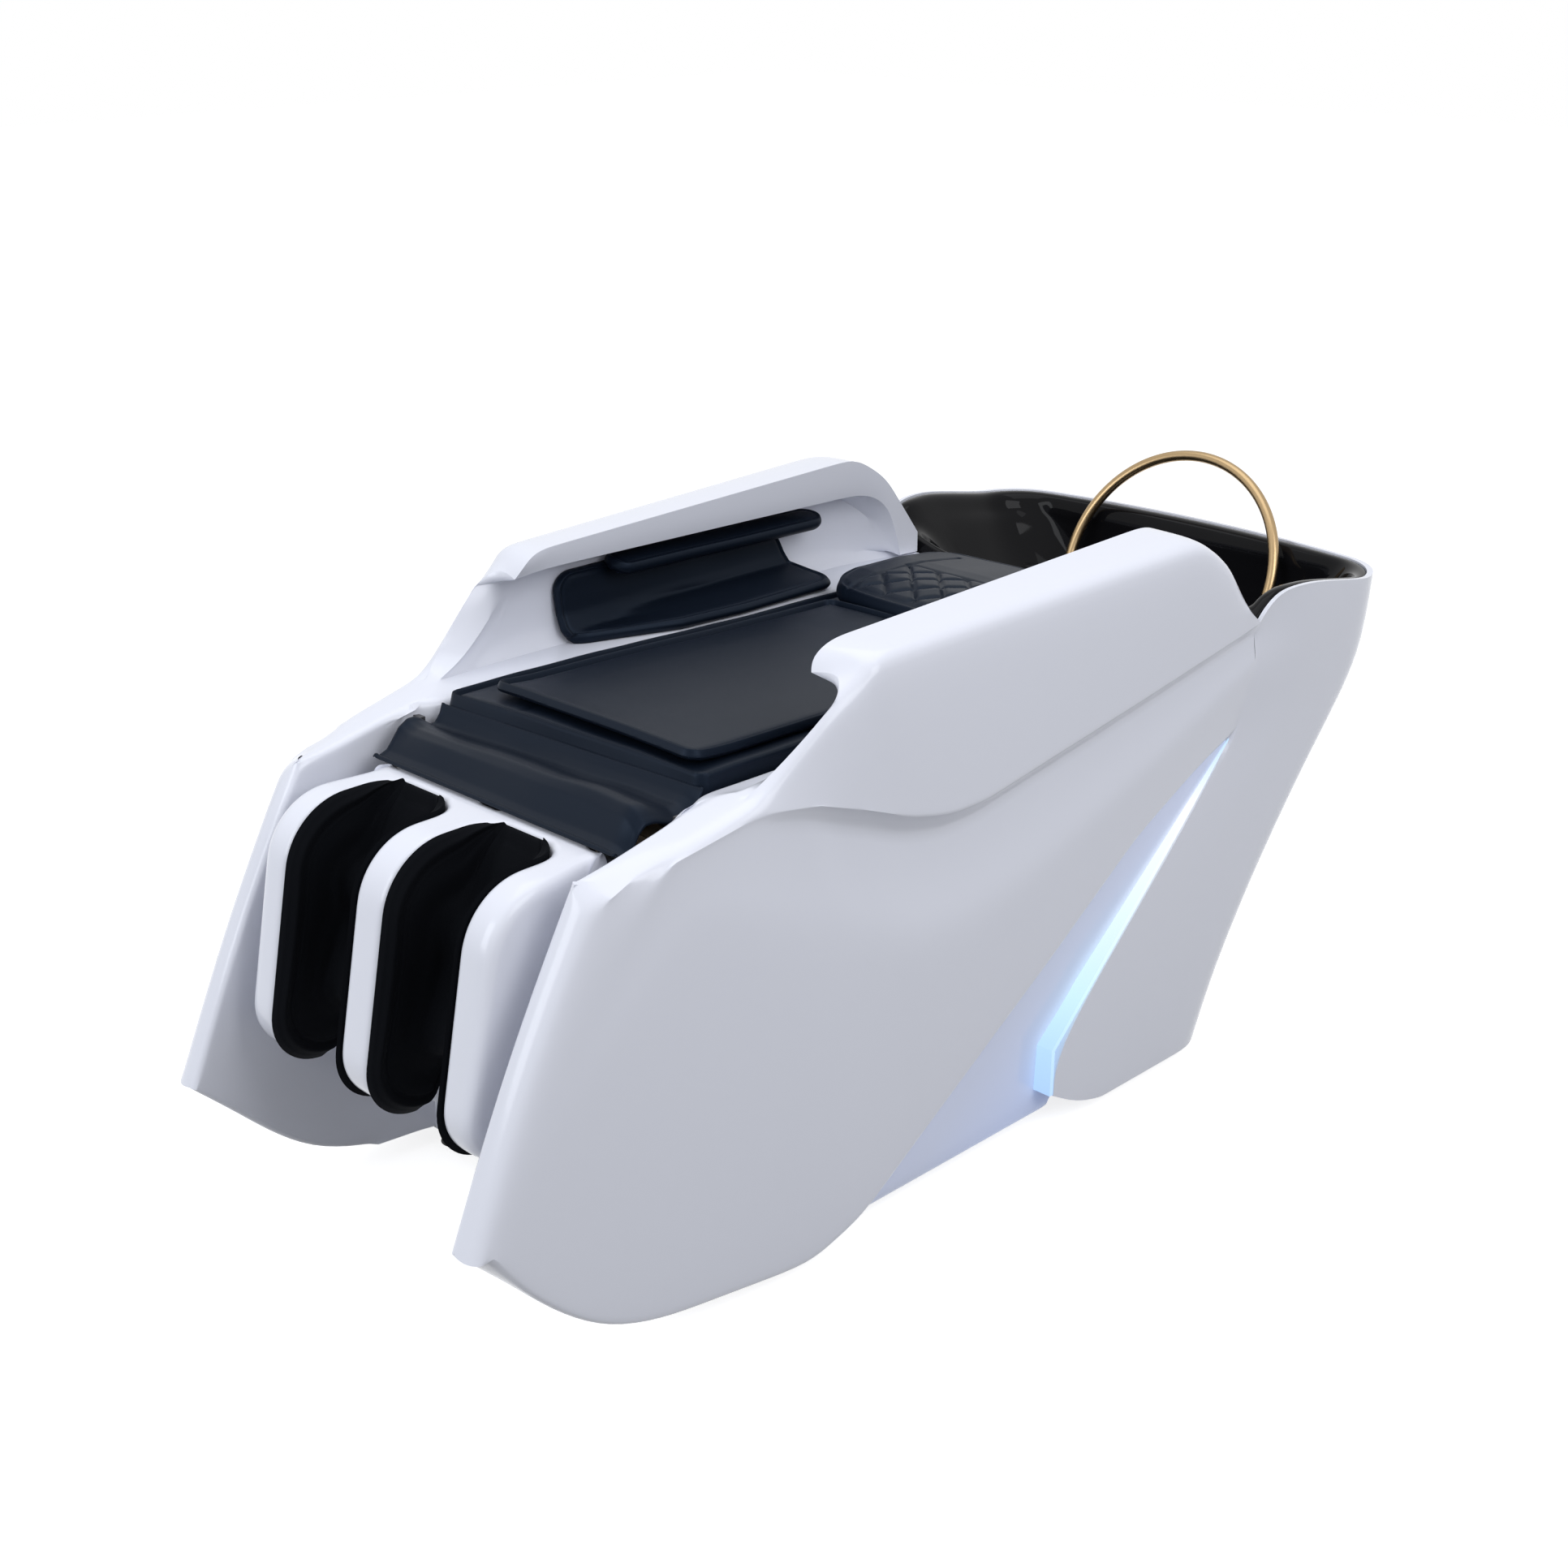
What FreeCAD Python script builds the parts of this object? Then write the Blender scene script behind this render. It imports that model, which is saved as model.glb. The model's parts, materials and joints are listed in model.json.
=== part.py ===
"""Head spa unit: a lying-down wash bed with a basin, a swinging water arch and a lifting calf rest.

Millimetres. +Z is up, the foot end is -Y, the basin end is +Y, and "left" is the +X side, which is the
left hand of the person lying on it. The origin is on the floor under the middle of the unit.
"""
import FreeCAD, Part
import math
import os

V = FreeCAD.Vector

# Fits and gaps
seam_gap = 0.3            # between neighbouring shells, and between a soft piece and its seat
run_clearance = 0.05      # radial clearance of a shaft in its bore
panel_gap = 0.5           # round the service panel

# Side panels: a fin in front, a wing behind it, moulded in glass fibre
skin = 6.0
fin_inner_x = 277.0
fin_nose = (-939.0, 235.0)
fin_keel = (-701.0, 38.0)
fin_heel = (-427.0, 15.0)
fin_kink = (-331.0, 45.0)
wing_bend = (255.0, 434.0)
wing_tip = (506.0, 546.0)
seam_rear = (516.0, 697.0)
seam_low = (-195.0, 574.0)
seam_front = (-474.0, 650.0)
fin_crest = (-497.0, 702.0)
fin_brow = (-736.0, 651.0)
seam_low_radius = 350.0
flange_width = 34.0
fin_closed_to_y = -548.0
# Stations along the wing: y, low outer x, shoulder x, shoulder z, crease x, crease z, inner top z
wing_stations = [
    (-1000.0, 331.0, 331.0, 630.0, 318.0, 648.0, 652.0),
    (-736.0, 340.0, 340.0, 632.0, 322.0, 649.0, 653.0),
    (-558.0, 356.0, 356.0, 573.0, 343.0, 674.0, 694.0),
    (-431.0, 368.0, 369.0, 510.0, 356.0, 650.0, 712.0),
    (-279.0, 377.0, 379.0, 452.0, 361.0, 608.0, 640.0),
    (-143.0, 381.0, 384.0, 427.0, 363.0, 590.0, 612.0),
    (0.0, 381.0, 386.0, 450.0, 366.0, 615.0, 632.0),
    (241.0, 377.0, 386.0, 541.0, 372.0, 665.0, 680.0),
    (540.0, 373.0, 384.0, 650.0, 381.0, 712.0, 725.0),
]

# Armrests: a hooked shell that roofs the arm trough
arm_inner_x = 292.0
arm_front_foot = (-548.0, 648.0)
arm_front_top = (-316.0, 858.0)
arm_rear_top = (356.0, 878.0)
arm_knee_back = 72.0                    # from the rear top back to the knee of the rear end
arm_knee_share = 0.716                  # height of the knee between the rear foot and the rear top
arm_rear_foot = (516.0, 716.0)
arm_front_radius = 34.0
arm_rear_radius = 60.0
arm_edge = 16.0
arm_outer_low = (350.0, 374.0, 386.0)   # x at the crease: post foot, front and rear
arm_outer_top = (383.0, 383.0, 397.0)   # x at the top edge at the same places
trough_x = 352.0
trough_shares = (0.8246, 0.6859)        # lip height between deck and armrest top, front and rear
trough_end_y = 462.0
trough_sill = 12.0                      # rise of the trough's rear end above the deck
trough_end_radius = 66.0

# Arm deck: the white ledge under the arm, beside the mattress
deck_top = 687.0
deck_thick = 12.0
deck_inner_x = 251.0
deck_front_y = -546.0
deck_rear_y = 512.0

# Light strip and the recessed sill that it lights
light_foot = (82.0, 71.0)
light_knee = (82.0, 147.0)
light_tip = (490.0, 530.0)
light_thick = 8.0
sill_x = 338.0
sill_tip_x = 367.0
sill_bottom = 20.0
sill_start_y = -385.0
light_face_x = 369.5

# Rear housing and basin: z, half width, rear y at the middle
housing_levels = [
    (16.0, 368.0, 562.0),
    (190.0, 371.0, 644.0),
    (370.0, 374.0, 770.0),
    (520.0, 381.0, 898.0),
    (610.0, 390.0, 934.0),
    (700.0, 399.0, 934.0),
    (790.0, 407.0, 924.0),
]
housing_front_y = -60.0
housing_corner = 112.0
housing_bow = 26.0
housing_bow_radius = 2200.0
housing_heel = (206.0, 16.0)
# Rim seen from the side: y, z, rounding
rim_line = [
    (518.0, 712.0, 0), (566.0, 754.0, 60), (650.0, 754.0, 140), (800.0, 724.0, 300), (990.0, 724.0, 0),
]
rim_thick = 12.0
rim_drop = 2.0            # the basin's flange lies this far below the white lip round it
basin_front_y = 518.0
# Bowl: z, half width, front y, rear y, corner radius
bowl_levels = [
    (532.0, 168.0, 640.0, 836.0, 90.0),
    (585.0, 262.0, 590.0, 866.0, 112.0),
    (660.0, 330.0, 556.0, 884.0, 112.0),
    (800.0, 378.0, 538.0, 892.0, 104.0),
]
bowl_wall = 8.0
drain_y = 720.0
drain_bore = 24.0
drain_flange = 38.0
drain_pipe = 20.0
drain_wall = 3.0
drain_drop = 62.0
trap_low_z = 372.0
trap_high_z = 452.0
trap_rise_y = 610.0
trap_bend = 38.0
outlet_y = 526.0
outlet_end_z = 26.0
outlet_spigot = 60.0
outlet_collar = 4.0

# Water arch: a rigid bent tube that swings on two stub pivots
arch_tube = 9.0
arch_bore = 7.0
arch_radius = 203.0
arch_lean = 25.0
arch_pivot = (803.0, 597.0)
arch_leg = 59.6
stub_radius = 7.0
stub_cap = 8.7
boss_radius = 18.0
boss_outer_x = 320.0
nut_thick = 12.0
stub_head = 10.0
stub_nut = 16.0
fitting_radius = 13.0
fitting_half = 13.0
spray_holes = 17
spray_hole_radius = 1.0

# Welded base frame of folded channel
rail_size = 40.0
rail_wall = 4.0
rail_bottom = 30.0
seat_rail_top = 600.0
post_thick = 8.0          # upright strips that carry the arm deck
frame_front_y = -560.0
frame_rear_y = 500.0
frame_middle_y = -108.0
foot_radius = 24.0
foot_pad = 10.0
foot_stem = 6.0
tray_thick = 3.0
tray_front_y = -60.0

# Bed: plywood pan and its soft pieces
pan_thick = 18.0
pan_half = 245.0
pan_front_y = -538.0
pan_rear_y = 496.0
pan_slot_half = 126.0
pan_slot = (-58.0, 356.0)
bed_half = 245.0
bed_front_y = -514.0
bed_rear_y = 500.0
bed_crown = 5.0
bed_pull = 9.0
# Stations along the mattress: y, edge height of its top
bed_tops = [(-514.0, 676.0), (-492.0, 700.0), (-250.0, 696.0), (60.0, 682.0), (300.0, 678.0), (500.0, 678.0)]
mat_thick = 13.0
mat_half = 203.0
mat_front_y = -472.0
mat_rear_y = 180.0
pillow_half = 226.0
pillow_front_y = 186.0
pillow_rear_y = 500.0
pillow_rise = 42.0
apron_inset = 2.0
apron_thick = 7.0
pad_front_y = -214.0
pad_rear_y = 268.0
pad_split_share = 0.65     # height of the split between deck and trough roof
pad_rounding = 14.0
pad_roof_gap = 6.0         # between the upper pad and the lowest part of the trough roof
pad_lower_depth = 44.0
pad_upper_depth = 40.0

# Calf rest
calf_half = 225.0
calf_wall = 45.0
calf_middle = 60.0
calf_top = 640.0
calf_rear_y = -640.0
calf_brow = (-944.0, 640.0)
calf_brow_radius = 150.0
calf_toe = (-845.0, 286.0)
calf_toe_radius = 42.0
calf_heel_y = -662.0
well_back = [(-640.0, 612.0), (-694.0, 572.0), (-768.0, 250.0)]
well_back_radius = 90.0
liner_gap = 0.4
liner_side = 13.0
liner_back = 22.0
liner_inset = 7.0
liner_drop = 12.0

# Calf rest hinge, crank and linear actuator
hinge_at = (-624.0, 622.0)
hinge_radius = 8.0
bush_wall = 3.0
lug_radius = 16.0
lug_x = (150.0, 190.0)
bracket_thick = 6.0
hinge_end_x = 243.0
back_plate = 6.0
back_plate_low = 322.0
crank_length = 190.0
crank_back_angle = 35.0
crank_half_thick = 5.0
crank_end = 14.0
crank_pin = 6.0
crank_pin_half = 17.0
yoke_play = 3.4
yoke_cheek = (7.0, 13.0)
yoke_back = 33.0
yoke_block = 15.0
yoke_block_half = 16.0
yoke_border = 9.0
rod_radius = 10.0
rod_tail_y = -170.0
barrel_radius = 25.0
barrel_front_y = -452.0
barrel_rear_y = -150.0
gearbox_half = 20.0
motor_drop = 52.0
motor_radius = 22.0
motor_length = 150.0

# Back massager under the mattress
guide_x = 90.0
guide_z = 575.0
guide_radius = 8.0
guide_y = (-60.0, 360.0)
end_plate = 15.0
end_plate_half = 118.0
end_plate_low = 545.0
screw_radius = 7.0
drive_radius = 24.0
drive_length = 72.0
carriage_y = (20.0, 70.0)
carriage_half = 110.0
carriage_z = (556.0, 594.0)
arm_plate_x = (70.0, 78.0)
roller_axis = (98.0, 592.0)
roller_shaft = 6.0
roller_radius = 22.0
roller_x = (26.0, 65.0)

# Equipment on the tray, each as its corner and its size
pump_size = (130.0, 150.0, 120.0)
pump_at = (-190.0, 150.0)
control_size = (180.0, 130.0, 160.0)
control_at = (20.0, 60.0)
inlet_inset = (40.0, 30.0)
inlet_flange = (60.0, 50.0)
inlet_depth = 22.0
air_pump_size = (150.0, 170.0, 110.0)
air_pump_at = (30.0, 260.0)
valve_x = 130.0
valve_z = 320.0
valve_radius = 20.0
valve_half = 80.0
inlet_x = 55.0
inlet_radius = 10.4
inlet_length = 22.0
supply_radius = 8.0

# Cover across the foot of the frame, under the calf rest
cover_thick = 6.0
cover_z = (24.0, 404.0)

# Service panel in the back of the housing
service_half = 170.0
service_z = (150.0, 430.0)
screw_head = 7.0
screw_inset = 22.0

mirror_plane = (V(0, 0, 0), V(1, 0, 0))


def side(u, v):
    """A point of a side profile: u runs along Y, v along Z."""
    return V(0, u, v)


def plan(level):
    """Maker of points of a plan profile at one height: u runs along X, v along Y."""
    return lambda u, v: V(u, v, level)


def rounded_wire(corners, place):
    """Closed wire through corners (u, v, radius), each corner with a radius turned into a tangent arc."""
    flat = [V(corner[0], corner[1], 0) for corner in corners]
    count = len(corners)
    starts = []
    middles = []
    ends = []
    for i in range(count):
        here = flat[i]
        back = flat[i - 1] - here
        ahead = flat[(i + 1) % count] - here
        back.normalize()
        ahead.normalize()
        radius = corners[i][2]
        half = back.getAngle(ahead) / 2
        reach = radius / math.tan(half)
        split = back + ahead
        if radius:
            split.normalize()
        starts.append(here + back * reach)
        middles.append(here + split * (radius / math.sin(half) - radius))
        ends.append(here + ahead * reach)
    edges = []
    for i in range(count):
        before = ends[i - 1]
        if (starts[i] - before).Length > 1e-6:
            ends_of_run = (place(before.x, before.y), place(starts[i].x, starts[i].y))
            edges.append(Part.LineSegment(*ends_of_run).toShape())
        if corners[i][2]:
            points = [place(point.x, point.y) for point in (starts[i], middles[i], ends[i])]
            edges.append(Part.Arc(*points).toShape())
    return Part.Wire(edges)


def side_slab(corners, low_x, high_x):
    """A side profile extruded from low_x to high_x."""
    face = Part.Face(rounded_wire(corners, side))
    face.translate(V(low_x, 0, 0))
    return face.extrude(V(high_x - low_x, 0, 0))


def sharp(points):
    """Corners with no rounding."""
    return [(point[0], point[1], 0) for point in points]


def box(low, high):
    return Part.makeBox(high[0] - low[0], high[1] - low[1], high[2] - low[2], V(*low))


def rod(radius, start, end):
    axis = V(*end) - V(*start)
    return Part.makeCylinder(radius, axis.Length, V(*start), axis)


def fuse(shapes):
    return shapes[0].multiFuse(shapes[1:]).removeSplitter()


def both_sides(shape):
    return Part.makeCompound([shape, shape.mirror(*mirror_plane)])


def offset_path(points, distance):
    """The open path moved to its right by a distance, with mitred corners."""
    moved = []
    for i in range(len(points)):
        legs = []
        for a, b in ((i - 1, i), (i, i + 1)):
            if 0 <= a and b < len(points):
                leg = V(points[b][0] - points[a][0], points[b][1] - points[a][1], 0)
                leg.normalize()
                legs.append(V(leg.y, -leg.x, 0))
        normal = legs[0] + legs[-1]
        normal.normalize()
        stretch = distance / normal.dot(legs[0])
        moved.append((points[i][0] + normal.x * stretch, points[i][1] + normal.y * stretch))
    return moved


def bent_tube(points, radius, bend):
    """Round tube along straight runs joined by tangent arcs of one bend radius."""
    route = [V(*point) for point in points]
    edges = []
    last = route[0]
    for i in range(1, len(route) - 1):
        back = route[i - 1] - route[i]
        ahead = route[i + 1] - route[i]
        back.normalize()
        ahead.normalize()
        half = back.getAngle(ahead) / 2
        reach = bend / math.tan(half)
        split = back + ahead
        split.normalize()
        start = route[i] + back * reach
        middle = route[i] + split * (bend / math.sin(half) - bend)
        end = route[i] + ahead * reach
        edges.append(Part.LineSegment(last, start).toShape())
        edges.append(Part.Arc(start, middle, end).toShape())
        last = end
    edges.append(Part.LineSegment(last, route[-1]).toShape())
    section = Part.Wire(Part.makeCircle(radius, route[0], route[1] - route[0]))
    return Part.Wire(edges).makePipeShell([section], True, False)


# Side panels

def wing_corners():
    """Side profile of the fin and wing."""
    return [
        (*fin_nose, 26), (*fin_keel, 150), (*fin_heel, 60), (*fin_kink, 70), (*wing_bend, 300),
        (*wing_tip, 0), (*seam_rear, 0),
        (*seam_low, seam_low_radius), (*seam_front, 0), (*fin_crest, 12), (*fin_brow, 34),
    ]


def wing_face(growth):
    """The side profile grown or shrunk all round."""
    face = Part.Face(rounded_wire(wing_corners(), side))
    if growth:
        face = Part.Face(face.makeOffset2D(growth).Wires[0])
    return face


def wing_prism(growth, low_x, high_x):
    face = wing_face(growth)
    face.translate(V(low_x, 0, 0))
    return face.extrude(V(high_x - low_x, 0, 0))


def wing_loft(inset):
    """Smooth body behind the wing's outer surface, with every wall moved in by inset."""
    wires = []
    for y, low_x, shoulder_x, shoulder_z, crease_x, crease_z, top_z in wing_stations:
        points = [
            V(fin_inner_x + inset, y, -20),
            V(low_x - inset, y, -20),
            V(shoulder_x - inset, y, shoulder_z - inset / 3),
            V(crease_x - inset, y, crease_z - inset),
            V(fin_inner_x + inset, y, top_z - inset),
        ]
        wires.append(Part.makePolygon(points + points[:1]))
    return Part.makeLoft(wires, True, False)


def side_panel():
    outer = wing_loft(0).common(wing_prism(0, 0, 500))
    cavity = wing_loft(skin).common(wing_prism(-skin, 0, 500))
    opening = wing_prism(-flange_width, fin_inner_x - 1, fin_inner_x + skin + 1)
    behind_fin = box((0, fin_closed_to_y, -50), (500, 900, 900))
    return outer.cut(cavity).cut(opening.common(behind_fin))


# Armrests and arm decks

def arm_rear_knee():
    foot = arm_rear_foot[1]
    return arm_rear_top[0] + arm_knee_back, foot + arm_knee_share * (arm_rear_top[1] - foot)


def trough_roof():
    """Height of the roof of the arm trough, front and rear."""
    tops = (arm_front_top[1], arm_rear_top[1])
    return [deck_top + share * (top - deck_top) for share, top in zip(trough_shares, tops)]


def arm_loft():
    """Body behind the armrest's outer face, which leans out from the crease to the rounded top edge."""
    low = seam_low[1] - 40
    high = max(arm_front_top[1], arm_rear_top[1]) + 20
    shoulder = arm_edge + 20
    front_edge = arm_front_top[1] - arm_edge
    rear_edge = arm_rear_top[1] - arm_edge
    stations = [
        (arm_front_foot[0] - 40, arm_outer_low[0], arm_outer_top[0], front_edge),
        (arm_front_top[0], arm_outer_low[1], arm_outer_top[1], front_edge),
        (arm_rear_top[0], arm_outer_low[2], arm_outer_top[2], rear_edge),
        (arm_rear_foot[0] + 60, arm_outer_low[2], arm_outer_top[2], rear_edge),
    ]
    wires = []
    for y, low_x, top_x, edge_z in stations:
        points = [
            V(arm_inner_x, y, low),
            V(low_x, y, low),
            V(top_x, y, edge_z),
            V(top_x - shoulder, y, high),
            V(arm_inner_x, y, high),
        ]
        wires.append(Part.makePolygon(points + points[:1]))
    return Part.makeLoft(wires, True, True)


def armrest():
    outline = [
        (*arm_front_foot, 0), (*arm_front_top, arm_front_radius), (*arm_rear_top, arm_rear_radius),
        (*arm_rear_knee(), 60), (*arm_rear_foot, 14), (seam_rear[0] - 4, seam_rear[1] - 4, 0),
        (seam_low[0], seam_low[1] - 30, 0),
    ]
    body = arm_loft().common(side_slab(outline, 0, 500))
    far_rear = seam_rear[0] + 40
    far_low = seam_low[1] - 60
    sill = deck_top + trough_sill
    roof_front, roof_rear = trough_roof()
    trough = [
        (fin_nose[0], far_low, 0), (fin_nose[0], roof_front + 6, 0), (arm_front_top[0], roof_front, 0),
        (trough_end_y - 20, roof_rear, trough_end_radius), (trough_end_y + 14, sill, 20),
        (far_rear, sill, 0), (far_rear, far_low, 0),
    ]
    body = body.cut(side_slab(trough, arm_inner_x - 40, trough_x))
    return body.cut(wing_prism(seam_gap, 0, 500))


def arm_deck():
    low = deck_top - deck_thick
    plate = box((deck_inner_x, deck_front_y, low), (trough_x - seam_gap, deck_rear_y, deck_top))
    lip_low = seat_rail_top + pan_thick + 20
    lip = box((deck_inner_x, deck_front_y, lip_low), (deck_inner_x + skin / 2, deck_rear_y, deck_top))
    ledge = plate.fuse(lip).removeSplitter()
    return ledge.cut(wing_prism(seam_gap, fin_inner_x - seam_gap, 500))


# Light strips and sills

def sill_block(outer, inner):
    """Long bar whose outer face leans from the sill out to the light's tip."""
    profile = [
        (inner, -20), (outer, -20), (outer, light_knee[1]), (outer + sill_tip_x - sill_x, light_tip[1]),
        (outer + sill_tip_x - sill_x, light_tip[1] + 40), (inner + sill_tip_x - sill_x, light_tip[1] + 40),
        (inner + sill_tip_x - sill_x, light_tip[1]), (inner, light_knee[1]),
    ]
    wire = Part.makePolygon([V(u, -600, v) for u, v in profile + profile[:1]])
    return Part.Face(wire).extrude(V(0, 1400, 0))


def light_back():
    """Back edge of the light strip, where the rear housing starts."""
    return offset_path([light_foot, light_knee, light_tip], light_thick)


def sill_panel():
    back = offset_path([light_foot, light_knee, light_tip], light_thick - seam_gap)
    outline = sharp([(sill_start_y, sill_bottom), (housing_heel[0] - 12, sill_bottom)] + back)
    outline += sharp([(sill_start_y, light_tip[1])])
    bar = sill_block(sill_x, sill_x - skin).common(side_slab(outline, 0, 500))
    return bar.cut(wing_prism(seam_gap, 0, 500))


def light_strip():
    path = [light_foot, light_knee, light_tip]
    outline = sharp(path + offset_path(path, light_thick - seam_gap)[::-1])
    band = side_slab(outline, sill_x - 20, light_face_x)
    return band.cut(sill_block(sill_x + seam_gap, 0)).cut(wing_prism(seam_gap, 0, 500))


# Rear housing, service panel and basin

def housing_loft(inset):
    """Body behind the housing's outer surface, moved in by inset."""
    wires = []
    for z, half, rear in housing_levels:
        width = half - inset
        back = rear - inset
        corners = [
            (width, housing_front_y, 0), (width, back - housing_bow, housing_corner),
            (0, back, housing_bow_radius),
            (-width, back - housing_bow, housing_corner), (-width, housing_front_y, 0),
        ]
        wires.append(rounded_wire(corners, plan(z)))
    return Part.makeLoft(wires, True, False)


def rim_slab(top, depth):
    """Band under the rim line, from top down to depth, right across the unit."""
    upper = [(y, z + top, radius) for y, z, radius in rim_line]
    lower = [(y, z + top - depth, radius) for y, z, radius in rim_line]
    return side_slab(upper + lower[::-1], -600, 600)


def housing_shell():
    front = light_back()
    shelf = rim_line[0][1] - 40
    outline = sharp([housing_heel] + front + [(seam_rear[0] - 80, shelf), (seam_rear[0], shelf)])
    outline += rim_line
    outline += sharp([(rim_line[-1][0], housing_heel[1])])
    shell = housing_loft(0).cut(housing_loft(skin)).common(side_slab(outline, -600, 600))
    return shell.cut(both_sides(wing_prism(seam_gap, 0, 500)))


def service_window(gap):
    half = service_half - gap
    return box((-half, 500, service_z[0] + gap), (half, 1000, service_z[1] - gap))


def rear_housing():
    return housing_shell().cut(service_window(0))


def service_panel():
    return housing_shell().common(service_window(panel_gap))


def service_screw_places():
    """Middle of each screw head on the sloping back, with the back's slope there."""
    places = []
    for z in (service_z[0] + screw_inset, service_z[1] - screw_inset):
        for x in (-service_half + screw_inset, service_half - screw_inset):
            line = Part.LineSegment(V(x, 300, z), V(x, 1000, z)).toShape()
            hits = housing_loft(0).common(line).Vertexes
            places.append(max((vertex.Point for vertex in hits), key=lambda point: point.y))
    return places


def service_screws():
    screws = []
    for place in service_screw_places():
        head = Part.makeSphere(screw_head, place)
        screws.append(head.cut(housing_loft(0)))
    return Part.makeCompound(screws)


def bowl_loft(growth):
    wires = []
    for z, half, front, rear, corner in bowl_levels:
        radius = corner + growth
        corners = [
            (half + growth, front - growth, radius), (half + growth, rear + growth, radius),
            (-half - growth, rear + growth, radius), (-half - growth, front - growth, radius),
        ]
        wires.append(rounded_wire(corners, plan(z - growth)))
    return Part.makeLoft(wires, True, False)


def wash_basin():
    front = box((-600, basin_front_y, 0), (600, 1200, 1000))
    bowl = bowl_loft(bowl_wall).common(front)
    below_rim = [(y, z - rim_drop - 1, radius) for y, z, radius in rim_line]
    under = side_slab(below_rim + sharp([(rim_line[-1][0], 0), (rim_line[0][0], 0)]), -600, 600)
    flange = housing_loft(skin + seam_gap).common(rim_slab(-rim_drop, rim_thick)).common(front)
    body = fuse([bowl.common(under), flange]).cut(bowl_loft(0))
    floor = bowl_levels[0][0]
    hole = rod(drain_bore, (0, drain_y, floor - 40), (0, drain_y, floor + 40))
    return fuse([body.cut(hole), *pivot_bosses().Solids]).cut(stub_holes())


def boss_inner_x():
    """Inner face of a pivot boss, just clear of the arch's end fitting."""
    return arch_radius + fitting_half + seam_gap


def pivot_bosses():
    """Moulded bosses through the basin walls, one for each pivot of the arch."""
    y, z = arch_pivot
    return both_sides(rod(boss_radius, (boss_inner_x(), y, z), (boss_outer_x, y, z)))


def stub_holes():
    y, z = arch_pivot
    return both_sides(rod(stub_radius + seam_gap, (boss_inner_x() - 1, y, z), (boss_outer_x + 1, y, z)))


def stub_outer_x():
    return boss_outer_x + nut_thick + 2


def basin_drain():
    floor = bowl_levels[0][0]
    low = floor - drain_drop
    flange = rod(drain_flange, (0, drain_y, floor), (0, drain_y, floor + 3))
    tail = rod(drain_pipe, (0, drain_y, low), (0, drain_y, floor + 3))
    body = fuse([flange, tail])
    body = body.cut(rod(drain_pipe - drain_wall, (0, drain_y, low), (0, drain_y, floor - 4)))
    holes = []
    for i in range(8):
        angle = math.radians(45 * i)
        x = 11 * math.cos(angle)
        y = drain_y + 11 * math.sin(angle)
        holes.append(rod(3, (x, y, floor - 6), (x, y, floor + 6)))
    return body.cut(Part.makeCompound(holes))


def drain_trap():
    top = bowl_levels[0][0] - drain_drop
    route = [
        (0, drain_y, top), (0, drain_y, trap_low_z),
        (0, trap_rise_y, trap_low_z), (0, trap_rise_y, trap_high_z),
        (0, outlet_y, trap_high_z), (0, outlet_y, outlet_end_z),
    ]
    collar_z = outlet_end_z + outlet_spigot
    collar = rod(drain_pipe + outlet_collar, (0, outlet_y, collar_z), (0, outlet_y, collar_z + 10))
    pipe = fuse([bent_tube(route, drain_pipe, trap_bend), collar])
    return pipe.cut(bent_tube(route, drain_pipe - drain_wall, trap_bend))


# Water arch

def arch_point(along, height):
    """Point of the arch's own plane: along X, and up the leaning plane from the pivot axis."""
    lean = math.radians(arch_lean)
    return V(along, arch_pivot[0] + height * math.sin(lean), arch_pivot[1] + height * math.cos(lean))


def arch_line():
    right = Part.LineSegment(arch_point(arch_radius, 0), arch_point(arch_radius, arch_leg)).toShape()
    crown = arch_point(0, arch_leg + arch_radius)
    left_top = arch_point(-arch_radius, arch_leg)
    curve = Part.Arc(arch_point(arch_radius, arch_leg), crown, left_top).toShape()
    left = Part.LineSegment(left_top, arch_point(-arch_radius, 0)).toShape()
    return Part.Wire([right, curve, left])


def arch_solid(radius):
    start = arch_point(arch_radius, 0)
    section = Part.Wire(Part.makeCircle(radius, start, arch_point(arch_radius, 1) - start))
    return arch_line().makePipeShell([section], True, False)


def water_arch():
    y, z = arch_pivot
    sockets = both_sides(rod(fitting_radius, (arch_radius - 40, y, z), (arch_radius + 40, y, z)))
    tube = arch_solid(arch_tube).cut(arch_solid(arch_bore)).cut(sockets)
    middle = arch_point(0, arch_leg)
    holes = []
    for i in range(spray_holes):
        angle = math.pi * (i + 1) / (spray_holes + 1)
        outward = arch_point(math.cos(angle), arch_leg + math.sin(angle)) - middle
        start = middle + outward * (arch_radius - arch_tube - 4)
        holes.append(Part.makeCylinder(spray_hole_radius, arch_tube, start, outward))
    return tube.cut(Part.makeCompound(holes))


def arch_fittings():
    y, z = arch_pivot
    low = arch_radius - fitting_half
    high = arch_radius + fitting_half
    ring = rod(fitting_radius, (low, y, z), (high, y, z))
    return both_sides(ring.cut(rod(stub_radius + run_clearance, (low, y, z), (high, y, z))))


def arch_pivots():
    y, z = arch_pivot
    cap_end = arch_radius - fitting_half - seam_gap
    shaft = rod(stub_radius, (cap_end - stub_cap, y, z), (stub_outer_x(), y, z))
    cap = rod(stub_head, (cap_end - stub_cap, y, z), (cap_end, y, z))
    return both_sides(fuse([shaft, cap]))


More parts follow.
